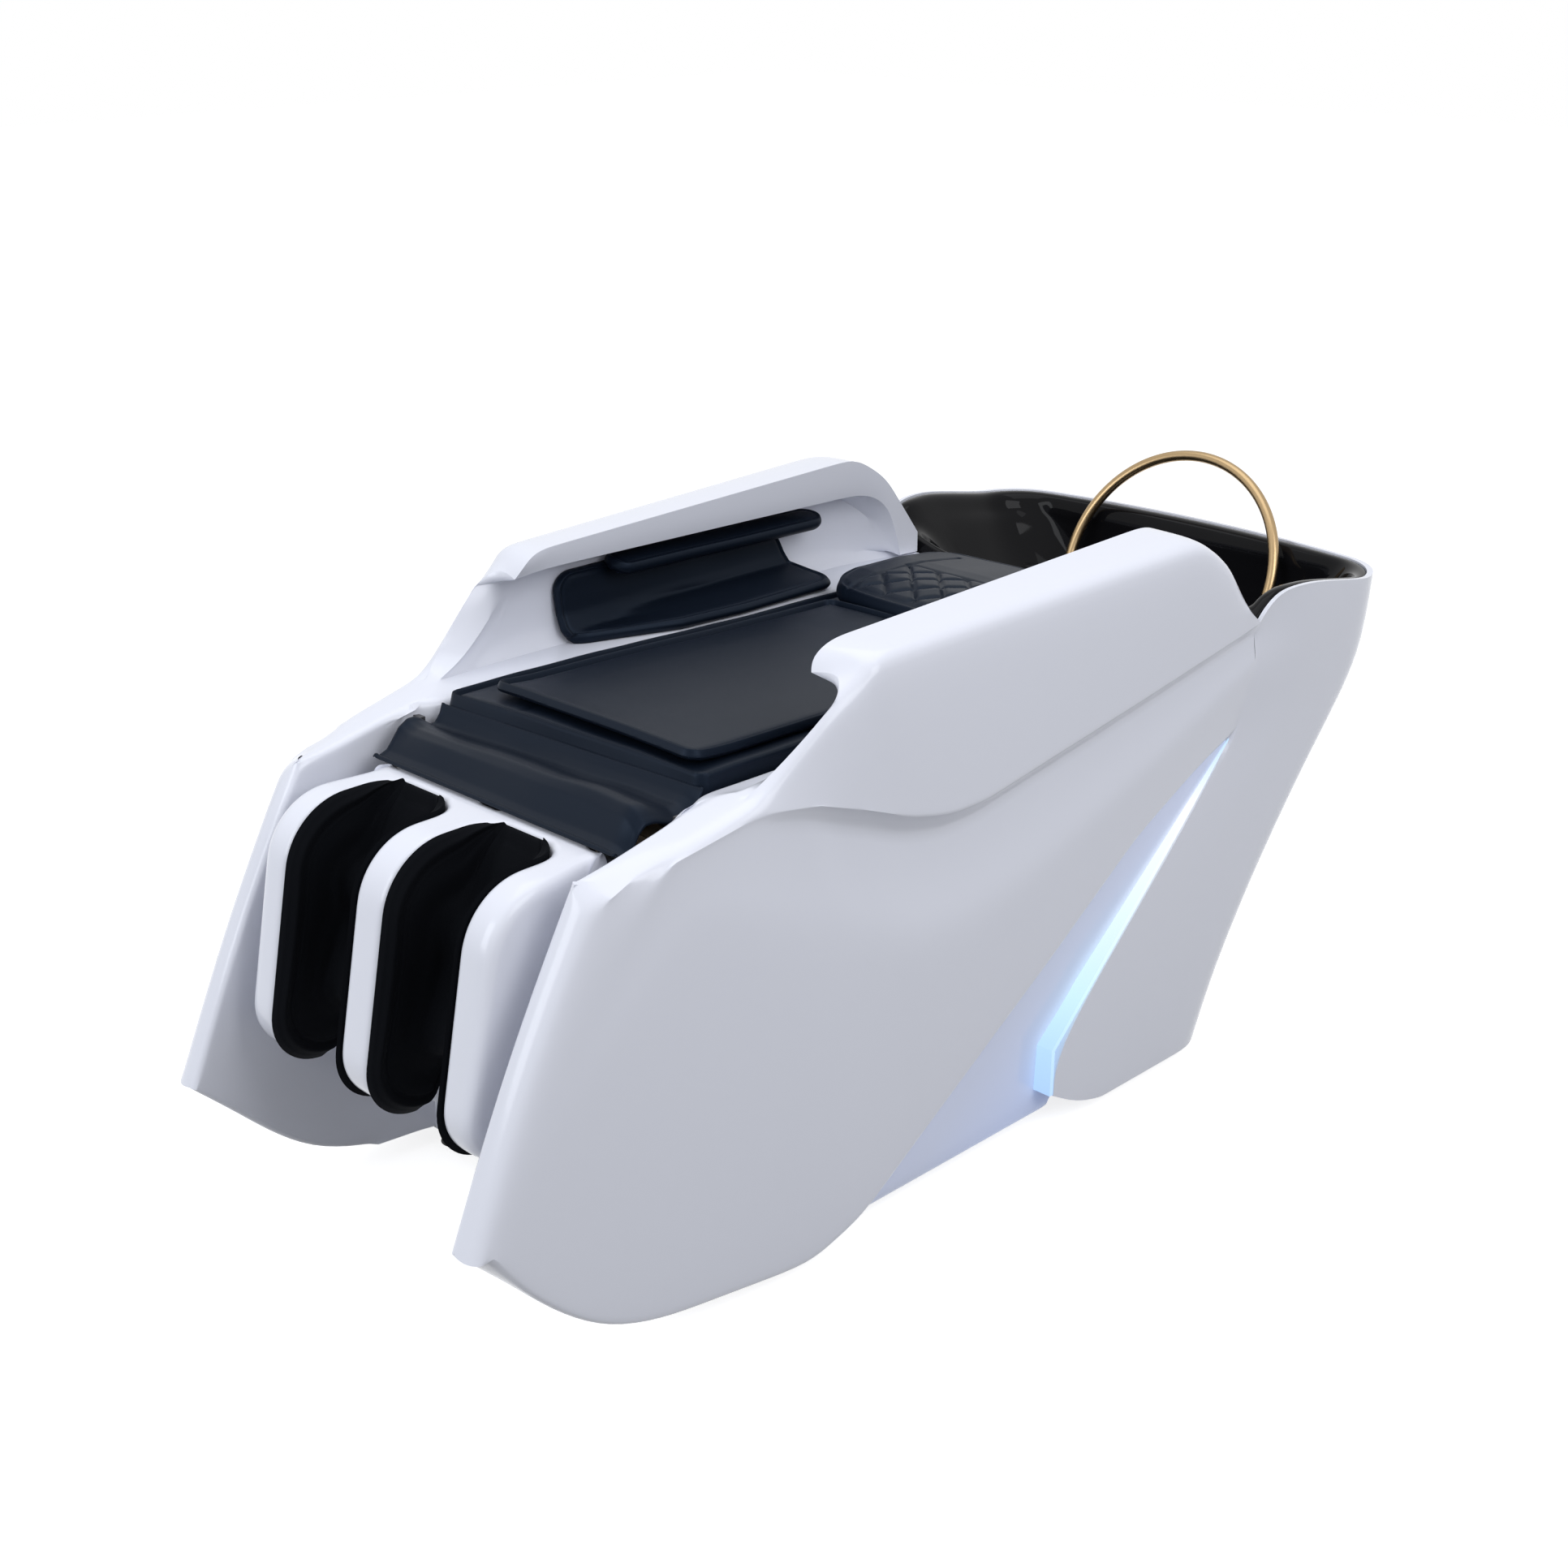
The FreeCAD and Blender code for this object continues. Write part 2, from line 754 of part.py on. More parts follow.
def pivot_nuts():
    """Flanged nuts that clamp each stub in the basin wall."""
    y, z = arch_pivot
    low = boss_outer_x
    nut = Part.Face(Part.makePolygon([
        V(low, y + stub_nut * math.cos(math.radians(60 * i)), z + stub_nut * math.sin(math.radians(60 * i)))
        for i in range(7)
    ])).extrude(V(nut_thick, 0, 0))
    return both_sides(nut.cut(rod(stub_radius, (low, y, z), (low + nut_thick, y, z))))


# Base frame

def channel(low, high, open_towards):
    """Folded channel in the box low to high: open at both ends of its long side and towards one face."""
    size = [high[i] - low[i] for i in range(3)]
    long_axis = size.index(max(size))
    inner_low = [low[i] + rail_wall for i in range(3)]
    inner_high = [high[i] - rail_wall for i in range(3)]
    inner_low[long_axis] = low[long_axis] - 1
    inner_high[long_axis] = high[long_axis] + 1
    axis = "xyz".index(open_towards[1])
    if open_towards[0] == "+":
        inner_high[axis] = high[axis] + 1
    else:
        inner_low[axis] = low[axis] - 1
    return box(low, high).cut(box(inner_low, inner_high))


def base_frame():
    inner = fin_inner_x - rail_size
    half = rail_size / 2
    low_top = rail_bottom + rail_size
    high_low = seat_rail_top - rail_size
    pieces = []
    for z in (rail_bottom, high_low):
        pieces.append(channel((inner, frame_front_y, z), (fin_inner_x, frame_rear_y, z + rail_size), "-x"))
    post_x = deck_inner_x + skin / 2 + 2
    for y in (frame_front_y, frame_middle_y - half, frame_rear_y - rail_size):
        pieces.append(channel((inner, y, low_top), (fin_inner_x, y + rail_size, high_low), "-x"))
        pieces.append(box((post_x, y, seat_rail_top), (fin_inner_x, y + post_thick, deck_top - deck_thick)))
    pieces += [piece.mirror(*mirror_plane) for piece in pieces]
    middle = frame_middle_y - half
    rear = frame_rear_y - rail_size
    bars = [
        (frame_front_y, rail_bottom), (middle, rail_bottom), (rear, rail_bottom),
        (frame_front_y + half, high_low), (rear, high_low),
        (middle, rod_axis_z() - half), (rear, valve_z - half),
    ]
    for y, z in bars:
        opening = "-y" if y > frame_middle_y else "+y"
        pieces.append(channel((-inner, y, z), (inner, y + rail_size, z + rail_size), opening))
    return fuse(pieces)


def front_cover():
    half = fin_inner_x - seam_gap
    return box((-half, frame_front_y - cover_thick, cover_z[0]), (half, frame_front_y, cover_z[1]))


def levelling_feet():
    feet = []
    x = fin_inner_x - rail_size / 2
    for y in (frame_front_y + rail_size / 2, frame_middle_y, frame_rear_y - rail_size / 2):
        pad = Part.makeCone(foot_radius, foot_radius - 6, foot_pad, V(x, y, 0))
        stem = rod(foot_stem, (x, y, 0), (x, y, rail_bottom))
        feet.append(both_sides(fuse([pad, stem])))
    return Part.makeCompound(feet)


def equipment_tray():
    half = fin_inner_x - 2
    z = rail_bottom + rail_size
    return box((-half, tray_front_y, z), (half, frame_rear_y - rail_size - 1, z + tray_thick))


# Bed

def seat_pan():
    pan = box((-pan_half, pan_front_y, seat_rail_top), (pan_half, pan_rear_y, seat_rail_top + pan_thick))
    slot = box((-pan_slot_half, pan_slot[0], 0), (pan_slot_half, pan_slot[1], 900))
    return pan.cut(slot)


def bed_bottom():
    return seat_rail_top + pan_thick + seam_gap


def cushion_wire(y, half, low, edge, crown, bulge):
    """Section of a cushion: flat or crowned foot, sides that swell in the middle, and a crowned top."""
    middle = (low[0] + edge) / 2
    corners = [V(-half, y, low[0]), V(half, y, low[0]), V(half, y, edge), V(-half, y, edge)]
    foot = Part.Arc(corners[0], V(0, y, low[0] + low[1]), corners[1]).toShape()
    right = Part.Arc(corners[1], V(half + bulge, y, middle), corners[2]).toShape()
    top = Part.Arc(corners[2], V(0, y, edge + crown), corners[3]).toShape()
    left = Part.Arc(corners[3], V(-half - bulge, y, middle), corners[0]).toShape()
    return Part.Wire([foot, right, top, left])


def bed_edge(y):
    """Height of the mattress's top edge at y, between its stations."""
    for (a, low), (b, high) in zip(bed_tops, bed_tops[1:]):
        if a <= y <= b:
            return low + (high - low) * (y - a) / (b - a)
    return bed_tops[-1][1]


def bed_top(y, x):
    """Height of the mattress's crowned top."""
    return bed_edge(y) + bed_crown * (1 - (x / bed_half) ** 2)


def seat_mattress():
    wires = []
    ends = (bed_front_y, bed_rear_y)
    for y, edge in bed_tops:
        pull = bed_pull if y in ends else bed_pull / 3
        wires.append(cushion_wire(y, bed_half - pull, (bed_bottom(), -0.05), edge, bed_crown, bed_pull / 3))
    return Part.makeLoft(wires, True, True)


def back_mat():
    wires = []
    stops = [mat_front_y, bed_tops[2][0], bed_tops[3][0], mat_rear_y]
    for y in stops:
        at_edge = bed_top(y, mat_half) + seam_gap
        at_middle = bed_top(y, 0) + seam_gap
        rise = at_middle - at_edge
        wires.append(cushion_wire(y, mat_half, (at_edge + 0.3, rise), at_edge + mat_thick, rise + 1.5, 2.0))
    return Part.makeLoft(wires, True, True)


def head_pillow():
    wires = []
    stops = [(pillow_front_y, 0.45, 0.86), (pillow_front_y + 40, 0.9, 0.97), (bed_tops[4][0], 1.0, 1.0),
             (pillow_rear_y - 60, 0.9, 0.95), (pillow_rear_y, 0.5, 0.85)]
    for y, rise, width in stops:
        half = pillow_half * width
        at_edge = bed_top(y, half) + seam_gap
        under = bed_top(y, 0) + seam_gap - at_edge
        edge = at_edge + pillow_rise * rise * 0.75
        crown = under + pillow_rise * rise * 0.25
        wires.append(cushion_wire(y, half, (at_edge + 0.4, under), edge, crown, 6.0))
    return Part.makeLoft(wires, True, True)


def seat_apron():
    """Cloth flap from the front of the mattress: it rolls forward over the gap and hangs to a hem."""
    start = bed_front_y - seam_gap
    wires = []
    half = bed_half - apron_inset
    top = bed_tops[0][1] - 2
    for x, swell in ((-half, 0), (-half / 2, 5), (0, 2), (half / 2, 6), (half, 0)):
        outer = [
            (start, top - 12, 0), (start, top + 10 + swell, 9), (start - 66, top + 8 + swell, 22),
            (start - 84, calf_top + 4, 0), (start - 84 + apron_thick, calf_top + 4, 0),
            (start - 66 + apron_thick, top + 8 + swell - apron_thick, 16),
            (start - apron_thick, top + 10 + swell - apron_thick, 3), (start - apron_thick, top - 12, 0),
        ]
        wires.append(rounded_wire(outer, lambda u, v, x=x: V(x, u, v)))
    return Part.makeLoft(wires, True, False)


def arm_pad(low, high, depth, lean):
    """Padded lining of the arm trough: a long pillow with rounded ends against the outer wall."""
    wall = trough_x - seam_gap
    middle = (low + high) / 2
    wires = []
    for y, size, thick in ((pad_front_y + lean, 0.55, 0.5), (pad_front_y + lean + 34, 0.94, 0.92),
                           ((pad_front_y + pad_rear_y) / 2, 1.0, 1.0), (pad_rear_y - 40, 0.96, 0.94),
                           (pad_rear_y, 0.6, 0.5)):
        half = (high - low) / 2 * size
        face = wall - depth * thick
        rounding = min(pad_rounding, (high - low) / 4) * size
        corners = [(wall, middle - half, rounding / 5), (wall, middle + half, rounding / 5),
                   (face + 4, middle + half * 0.8, rounding), (face, middle - half * 0.7, rounding)]
        wires.append(rounded_wire(corners, lambda u, v, y=y: V(u, y, v)))
    return Part.makeLoft(wires, True, True)


def pad_split_z():
    return deck_top + pad_split_share * (min(trough_roof()) - deck_top)


def lower_arm_pad():
    return arm_pad(deck_top + seam_gap, pad_split_z() - seam_gap, pad_lower_depth, 30)


def upper_arm_pad():
    return arm_pad(pad_split_z(), min(trough_roof()) - pad_roof_gap, pad_upper_depth, 0)


# Calf rest

def calf_corners(inset, drop):
    """Side profile of the calf rest, drawn in by inset and let down by drop at its foot."""
    toe = calf_toe
    brow_radius = calf_brow_radius - inset
    return [
        (calf_rear_y, calf_top - inset, 0), (calf_brow[0] + inset, calf_brow[1] - inset, brow_radius),
        (toe[0] + inset, toe[1] - drop, calf_toe_radius - inset), (calf_heel_y, toe[1] - drop, 8),
        (calf_rear_y, toe[1] + 30, 0),
    ]


def well_slab(setback, low_x, high_x):
    """Everything in front of the back of a leg well, moved forward by setback."""
    back = offset_path(well_back, setback)
    corners = [(calf_rear_y + 60, back[0][1], 0), (*back[0], 0), (*back[1], well_back_radius), (*back[2], 0)]
    corners += [(calf_brow[0] - 60, back[2][1], 0), (calf_brow[0] - 60, calf_top + 60, 0)]
    corners += [(calf_rear_y + 60, calf_top + 60, 0)]
    return side_slab(corners, low_x, high_x)


def well_limits():
    return calf_middle / 2, calf_half - calf_wall


def legrest_shell():
    """Three walls round two leg wells, hollow and open at the back."""
    inner, outer = well_limits()
    body = side_slab(calf_corners(0, 0), -calf_half, calf_half)
    wells = both_sides(well_slab(0, inner, outer))
    cavity = side_slab(calf_corners(skin, -skin), skin - calf_half, calf_half - skin)
    cavity = cavity.cut(both_sides(well_slab(-skin, inner - skin, outer + skin)))
    return body.cut(wells).cut(cavity)


def leg_liner():
    inner, outer = well_limits()
    low = inner + liner_gap
    high = outer - liner_gap
    block = side_slab(calf_corners(liner_inset, liner_drop), low, high)
    lining = block.common(well_slab(liner_gap, low, high))
    return lining.cut(well_slab(liner_back, low + liner_side, high - liner_side))


def legrest_frame():
    y, z = hinge_at
    half = calf_half - 3
    pieces = [box((-half, calf_rear_y, back_plate_low), (half, calf_rear_y + back_plate, z - lug_radius))]
    for low, high in (lug_x, (-lug_x[1], -lug_x[0])):
        pieces.append(rod(lug_radius, (low, y, z), (high, y, z)))
        pieces.append(box((low, calf_rear_y, z - lug_radius), (high, y, z + lug_radius)))
    pin_y, pin_z = crank_pin_at()
    root = calf_rear_y + back_plate
    arm = [
        (root - 1, z - 24, 0), (root + 26, z - 24, 8), (pin_y + crank_end, pin_z + 10, crank_end * 0.8),
        (pin_y + 2, pin_z - crank_end, crank_end * 0.8), (root - 1, pin_z + 30, 0),
    ]
    pieces.append(side_slab(arm, -crank_half_thick, crank_half_thick))
    body = fuse(pieces)
    bores = rod(hinge_radius + bush_wall, (-lug_x[1] - 5, y, z), (lug_x[1] + 5, y, z))
    pin_hole = rod(crank_pin, (-crank_end, pin_y, pin_z), (crank_end, pin_y, pin_z))
    return body.cut(bores).cut(pin_hole)


def hinge_bushes():
    y, z = hinge_at
    ring = rod(hinge_radius + bush_wall, (lug_x[0], y, z), (lug_x[1], y, z))
    return both_sides(ring.cut(rod(hinge_radius + run_clearance, (lug_x[0], y, z), (lug_x[1], y, z))))


def hinge_shaft():
    y, z = hinge_at
    return rod(hinge_radius, (-hinge_end_x, y, z), (hinge_end_x, y, z))


def hinge_brackets():
    y, z = hinge_at
    high_x = fin_inner_x - rail_size
    low_x = high_x - bracket_thick
    outline = [
        (frame_front_y + rail_size / 2, seat_rail_top - rail_size, 0),
        (frame_front_y + rail_size / 2, seat_rail_top - 4, 4),
        (y + 20, z + 14, 12), (y - 16, z + 14, 12), (y - 16, z - 20, 14),
        (frame_front_y, seat_rail_top - rail_size, 0),
    ]
    plate = side_slab(outline, low_x, high_x)
    return both_sides(plate.cut(rod(hinge_radius, (low_x, y, z), (high_x, y, z))))


def crank_pin_at():
    angle = math.radians(crank_back_angle)
    return hinge_at[0] + crank_length * math.sin(angle), hinge_at[1] - crank_length * math.cos(angle)


def rod_axis_z():
    """The rod runs level, half way between the crank pin's highest and lowest points."""
    return hinge_at[1] - crank_length * (1 + math.cos(math.radians(crank_back_angle))) / 2


def crank_pin_solid():
    y, z = crank_pin_at()
    return rod(crank_pin, (-crank_pin_half, y, z), (crank_pin_half, y, z))


def rod_yoke():
    """Two cheeks with an upright slot that lets the crank pin rise and fall."""
    y, high_z = crank_pin_at()
    low_z = hinge_at[1] - crank_length
    reach = crank_pin + yoke_play
    front = y - reach - yoke_border
    foot = low_z - reach - yoke_border
    head = high_z + reach + yoke_border
    outline = [(front, foot, 12), (y + yoke_back, foot, 6), (y + yoke_back, head, 6), (front, head, 12)]
    slot = [
        (y - reach, low_z - reach, reach * 0.99), (y + reach, low_z - reach, reach * 0.99),
        (y + reach, high_z + reach, reach * 0.99), (y - reach, high_z + reach, reach * 0.99),
    ]
    cheek = side_slab(outline, *yoke_cheek).cut(side_slab(slot, 0, 40))
    centre = rod_axis_z()
    low = centre - yoke_block_half
    high = centre + yoke_block_half
    root = y + yoke_back
    block = box((-yoke_cheek[1], root, low), (yoke_cheek[1], root + yoke_block, high))
    web = box((yoke_cheek[0], root - 1, low), (yoke_cheek[1], root + 1, high))
    return fuse([cheek, cheek.mirror(*mirror_plane), block, web, web.mirror(*mirror_plane)])


def actuator_rod():
    y = crank_pin_at()[0] + yoke_back + yoke_block
    z = rod_axis_z()
    return rod(rod_radius, (0, y, z), (0, rod_tail_y, z))


def actuator_barrel():
    z = rod_axis_z()
    tube = rod(barrel_radius, (0, barrel_front_y, z), (0, barrel_rear_y, z))
    return tube.cut(rod(rod_radius + run_clearance, (0, barrel_front_y, z), (0, rod_tail_y + 6, z)))


def actuator_gearbox():
    z = rod_axis_z()
    rear = frame_middle_y - rail_size / 2
    outline = [
        (-gearbox_half, z - motor_drop - motor_radius, 12), (gearbox_half, z - motor_drop - motor_radius, 12),
        (gearbox_half + 5, z, 8), (gearbox_half, z + gearbox_half, 8), (-gearbox_half, z + gearbox_half, 8),
        (-gearbox_half - 5, z, 8),
    ]
    face = Part.Face(rounded_wire(outline, lambda u, v: V(u, barrel_rear_y, v)))
    return face.extrude(V(0, rear - barrel_rear_y, 0))


def actuator_motor():
    z = rod_axis_z() - motor_drop
    return rod(motor_radius, (0, barrel_rear_y - motor_length, z), (0, barrel_rear_y, z))


# Back massager

def guide_rails():
    rail = rod(guide_radius, (guide_x, guide_y[0], guide_z), (guide_x, guide_y[1], guide_z))
    return both_sides(rail)


def guide_end_plates():
    plates = []
    for low in (guide_y[0] - end_plate, guide_y[1]):
        plate = box((-end_plate_half, low, end_plate_low), (end_plate_half, low + end_plate, seat_rail_top))
        bore = rod(screw_radius + run_clearance, (0, low, guide_z), (0, low + end_plate, guide_z))
        plates.append(plate.cut(bore))
    return Part.makeCompound(plates)


def lead_screw():
    front = guide_y[0] - end_plate
    rear = guide_y[1] + end_plate
    return rod(screw_radius, (0, front, guide_z), (0, rear - 1, guide_z))


def drive_motor():
    rear = guide_y[1] + end_plate
    can = rod(drive_radius, (0, rear, guide_z), (0, rear + drive_length, guide_z))
    flange = box((-28, rear, guide_z - 24), (28, rear + 6, guide_z + 24))
    return fuse([flange, can])


def massage_carriage():
    low, high = carriage_y
    block = box((-carriage_half, low, carriage_z[0]), (carriage_half, high, carriage_z[1]))
    y, z = roller_axis
    root = high - 20
    outline = [(root, z - 14, 0), (y + 14, z - 14, 13), (y + 14, z + 14, 9), (root, carriage_z[1] - 8, 0)]
    arm = side_slab(outline, *arm_plate_x)
    body = fuse([block, arm, arm.mirror(*mirror_plane)])
    cuts = [rod(screw_radius + run_clearance, (0, low, guide_z), (0, high, guide_z))]
    for x in (-guide_x, guide_x):
        cuts.append(rod(guide_radius + run_clearance, (x, low, guide_z), (x, high, guide_z)))
    cuts.append(rod(roller_shaft + run_clearance, (-carriage_half, y, z), (carriage_half, y, z)))
    return body.cut(Part.makeCompound(cuts))


def roller_axle():
    y, z = roller_axis
    reach = arm_plate_x[1] + 3
    return rod(roller_shaft, (-reach, y, z), (reach, y, z))


def massage_rollers():
    """Two barrel-shaped kneading rollers."""
    y, z = roller_axis
    low, high = roller_x
    middle = (low + high) / 2
    edge = roller_radius - 5
    outline = Part.Wire([
        Part.LineSegment(V(low, y, z + roller_shaft), V(low, y, z + edge)).toShape(),
        Part.Arc(V(low, y, z + edge), V(middle, y, z + roller_radius), V(high, y, z + edge)).toShape(),
        Part.LineSegment(V(high, y, z + edge), V(high, y, z + roller_shaft)).toShape(),
        Part.LineSegment(V(high, y, z + roller_shaft), V(low, y, z + roller_shaft)).toShape(),
    ])
    return both_sides(Part.Face(outline).revolve(V(0, y, z), V(1, 0, 0), 360))


# Equipment

def tray_top():
    return rail_bottom + rail_size + tray_thick


def circulation_pump():
    x, y = pump_at
    length, width, height = pump_size
    foot = box((x, y, tray_top()), (x + length, y + width, tray_top() + 8))
    middle = x + length / 2
    axis_z = tray_top() + height / 2 + 4
    radius = height / 2 - 6
    motor = rod(radius, (middle, y, axis_z), (middle, y + width * 0.68, axis_z))
    volute = rod(radius * 0.86, (middle, y + width * 0.68, axis_z), (middle, y + width, axis_z))
    saddle = box((x + 24, y + 10, tray_top()), (x + length - 24, y + width - 10, axis_z))
    return fuse([foot, saddle, motor, volute])


def control_box():
    x, y = control_at
    length, width, height = control_size
    case = box((x, y, tray_top()), (x + length, y + width, tray_top() + height))
    return case.makeFillet(8, [edge for edge in case.Edges if abs(edge.tangentAt(0).z) > 0.9])


def air_pump():
    x, y = air_pump_at
    length, width, height = air_pump_size
    case = box((x, y, tray_top()), (x + length, y + width, tray_top() + height * 0.8))
    case = case.makeFillet(10, [edge for edge in case.Edges if abs(edge.tangentAt(0).z) > 0.9])
    ports = []
    for i in range(4):
        at = (x + length * (i + 0.5) / 4, y + width / 2)
        ports.append(rod(6, (*at, tray_top() + height * 0.8 - 1), (*at, tray_top() + height)))
    return fuse([case] + ports)


def mixing_valve():
    """Brass mixer on the rear cross bar, with a threaded inlet each for hot and cold and an outlet on top."""
    y = frame_rear_y + valve_radius + 4
    low_x = valve_x - valve_half
    high_x = valve_x + valve_half
    barrel = rod(valve_radius, (low_x, y, valve_z), (high_x, y, valve_z))
    pieces = [barrel, box((low_x + 32, frame_rear_y, valve_z - 14), (high_x - 32, y, valve_z + 14))]
    for x in (valve_x - inlet_x, valve_x + inlet_x):
        collar_end = valve_z - valve_radius - 10
        pieces.append(rod(inlet_radius + 3, (x, y, collar_end), (x, y, valve_z)))
        pieces.append(rod(inlet_radius, (x, y, collar_end - inlet_length), (x, y, valve_z)))
    pieces.append(rod(supply_radius + 3, (valve_x, y, valve_z), (valve_x, y, valve_z + valve_radius + 16)))
    return fuse(pieces)


def supply_pipe():
    """Copper pipe from the mixer up to the left pivot of the arch."""
    y = frame_rear_y + valve_radius + 4
    end_y, end_z = arch_pivot
    x = stub_outer_x() + supply_radius + seam_gap
    route = [
        (valve_x, y, valve_z + valve_radius + 16), (valve_x, y, valve_z + 110), (x, y + 20, valve_z + 110),
        (x, y + 60, end_z), (x, end_y + stub_radius + 4, end_z),
    ]
    return bent_tube(route, supply_radius, 34.0)


def power_inlet():
    """Appliance inlet with its flange and three pins, on the rear face of the control box."""
    x = control_at[0] + inlet_inset[0]
    face = control_at[1] + control_size[1]
    z = tray_top() + inlet_inset[1]
    width, height = inlet_flange
    flange = box((x, face, z), (x + width, face + 3, z + height))
    body = box((x + 10, face, z + 10), (x + width - 10, face + inlet_depth, z + height - 10))
    pocket = box((x + 14, face + 6, z + 14), (x + width - 14, face + inlet_depth + 1, z + height - 14))
    pins = []
    pin_z = z + height / 2
    for shift in (-8, 0, 8):
        pin_x = x + width / 2 + shift
        pins.append(rod(2, (pin_x, face + 5, pin_z), (pin_x, face + inlet_depth - 4, pin_z)))
    return fuse([fuse([flange, body]).cut(pocket)] + pins)


def save(name, shape):
    shape.exportStep("parts/" + name + ".step")


def save_pair(name, shape):
    """The piece as drawn on the left (+X), and its mirror image on the right."""
    save("left_" + name, shape)
    save("right_" + name, shape.mirror(*mirror_plane))


os.makedirs("parts", exist_ok=True)

save_pair("side_panel", side_panel())
save_pair("armrest", armrest())
save_pair("arm_deck", arm_deck())
save_pair("sill_panel", sill_panel())
save_pair("light_strip", light_strip())
save_pair("lower_arm_pad", lower_arm_pad())
save_pair("upper_arm_pad", upper_arm_pad())
save_pair("leg_liner", leg_liner())
save("rear_housing", rear_housing())
save("service_panel", service_panel())
save("service_screws", service_screws())
save("wash_basin", wash_basin())
save("basin_drain", basin_drain())
save("drain_trap", drain_trap())
save("water_arch", water_arch())
save("arch_fittings", arch_fittings())
save("arch_pivots", arch_pivots())
save("pivot_nuts", pivot_nuts())
save("base_frame", base_frame())
save("front_cover", front_cover())
save("levelling_feet", levelling_feet())
save("equipment_tray", equipment_tray())
save("circulation_pump", circulation_pump())
save("control_box", control_box())
save("power_inlet", power_inlet())
save("air_pump", air_pump())
save("mixing_valve", mixing_valve())
save("supply_pipe", supply_pipe())
save("seat_pan", seat_pan())
save("seat_mattress", seat_mattress())
save("back_mat", back_mat())
save("head_pillow", head_pillow())
save("seat_apron", seat_apron())
save("legrest_shell", legrest_shell())
save("legrest_frame", legrest_frame())
save("hinge_bushes", hinge_bushes())
save("hinge_shaft", hinge_shaft())
save("hinge_brackets", hinge_brackets())
save("crank_pin", crank_pin_solid())
save("rod_yoke", rod_yoke())
save("actuator_rod", actuator_rod())
save("actuator_barrel", actuator_barrel())
save("actuator_gearbox", actuator_gearbox())
save("actuator_motor", actuator_motor())
save("guide_rails", guide_rails())
save("guide_end_plates", guide_end_plates())
save("lead_screw", lead_screw())
save("drive_motor", drive_motor())
save("massage_carriage", massage_carriage())
save("roller_axle", roller_axle())
save("massage_rollers", massage_rollers())
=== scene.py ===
import json
import math
import bpy
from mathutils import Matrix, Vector, kdtree, noise


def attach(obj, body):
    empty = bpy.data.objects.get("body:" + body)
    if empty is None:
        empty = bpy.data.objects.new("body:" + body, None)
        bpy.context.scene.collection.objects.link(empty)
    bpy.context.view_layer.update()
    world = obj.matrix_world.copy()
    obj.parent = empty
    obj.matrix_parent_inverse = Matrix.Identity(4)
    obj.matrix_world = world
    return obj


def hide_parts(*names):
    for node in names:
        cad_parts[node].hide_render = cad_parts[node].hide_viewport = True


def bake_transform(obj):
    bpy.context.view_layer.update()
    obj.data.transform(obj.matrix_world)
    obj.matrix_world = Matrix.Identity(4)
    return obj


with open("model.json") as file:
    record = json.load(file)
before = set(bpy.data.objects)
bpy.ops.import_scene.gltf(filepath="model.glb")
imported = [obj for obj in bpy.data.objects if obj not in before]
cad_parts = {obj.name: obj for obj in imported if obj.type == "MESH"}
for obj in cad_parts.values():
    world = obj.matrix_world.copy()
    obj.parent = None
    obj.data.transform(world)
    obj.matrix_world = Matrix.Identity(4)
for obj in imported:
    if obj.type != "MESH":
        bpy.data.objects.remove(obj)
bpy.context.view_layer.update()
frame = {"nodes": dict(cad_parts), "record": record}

nodes = frame["nodes"]

# Camera
# It stands off the foot end on the left, a little above head height, and looks down at the bed.
camera_place = (2.184, -2.319, 1.743)
camera_pitch = 21.4665
camera_yaw = 44.608
camera_lens = 52.40
bpy.ops.object.select_all(action="DESELECT")
bpy.ops.object.camera_add(
    location=camera_place, rotation=(math.radians(90 - camera_pitch), 0, math.radians(camera_yaw)))
camera = bpy.context.object
camera.data.lens = camera_lens
camera.data.sensor_width = 36.0
bpy.context.scene.camera = camera

# Studio
# A pale floor that turns white to the camera and keeps a soft shadow, a white world, and three soft lamps.
floor_size = 30.0
floor_drop = 0.0005
floor_glow = 0.80
floor_shade = 0.22
floor_bright = 0.60
sky_colour = (0.93, 0.95, 1.0, 1)
sky_strength = 0.55
bpy.ops.mesh.primitive_plane_add(size=floor_size, location=(0, 0, -floor_drop))
floor = bpy.context.object
floor.name = "studio_floor"


def set_values(node, **values):
    """Values on the sockets of a shader node, each named as its socket is, with _ for a space."""
    for name, value in values.items():
        node.inputs[name.replace("_", " ")].default_value = value


def add_node(tree, kind, **values):
    """New shader node with values on its sockets."""
    node = tree.nodes.new(kind)
    set_values(node, **values)
    return node


def seen_straight(tree):
    """One for what the camera, gloss and glass see straight, and nothing for the light that falls."""
    path = add_node(tree, "ShaderNodeLightPath")
    seen = path.outputs["Is Camera Ray"]
    for ray in ("Is Glossy Ray", "Is Transmission Ray"):
        either = add_node(tree, "ShaderNodeMath")
        either.operation = "MAXIMUM"
        tree.links.new(seen, either.inputs[0])
        tree.links.new(path.outputs[ray], either.inputs[1])
        seen = either.outputs[0]
    return seen


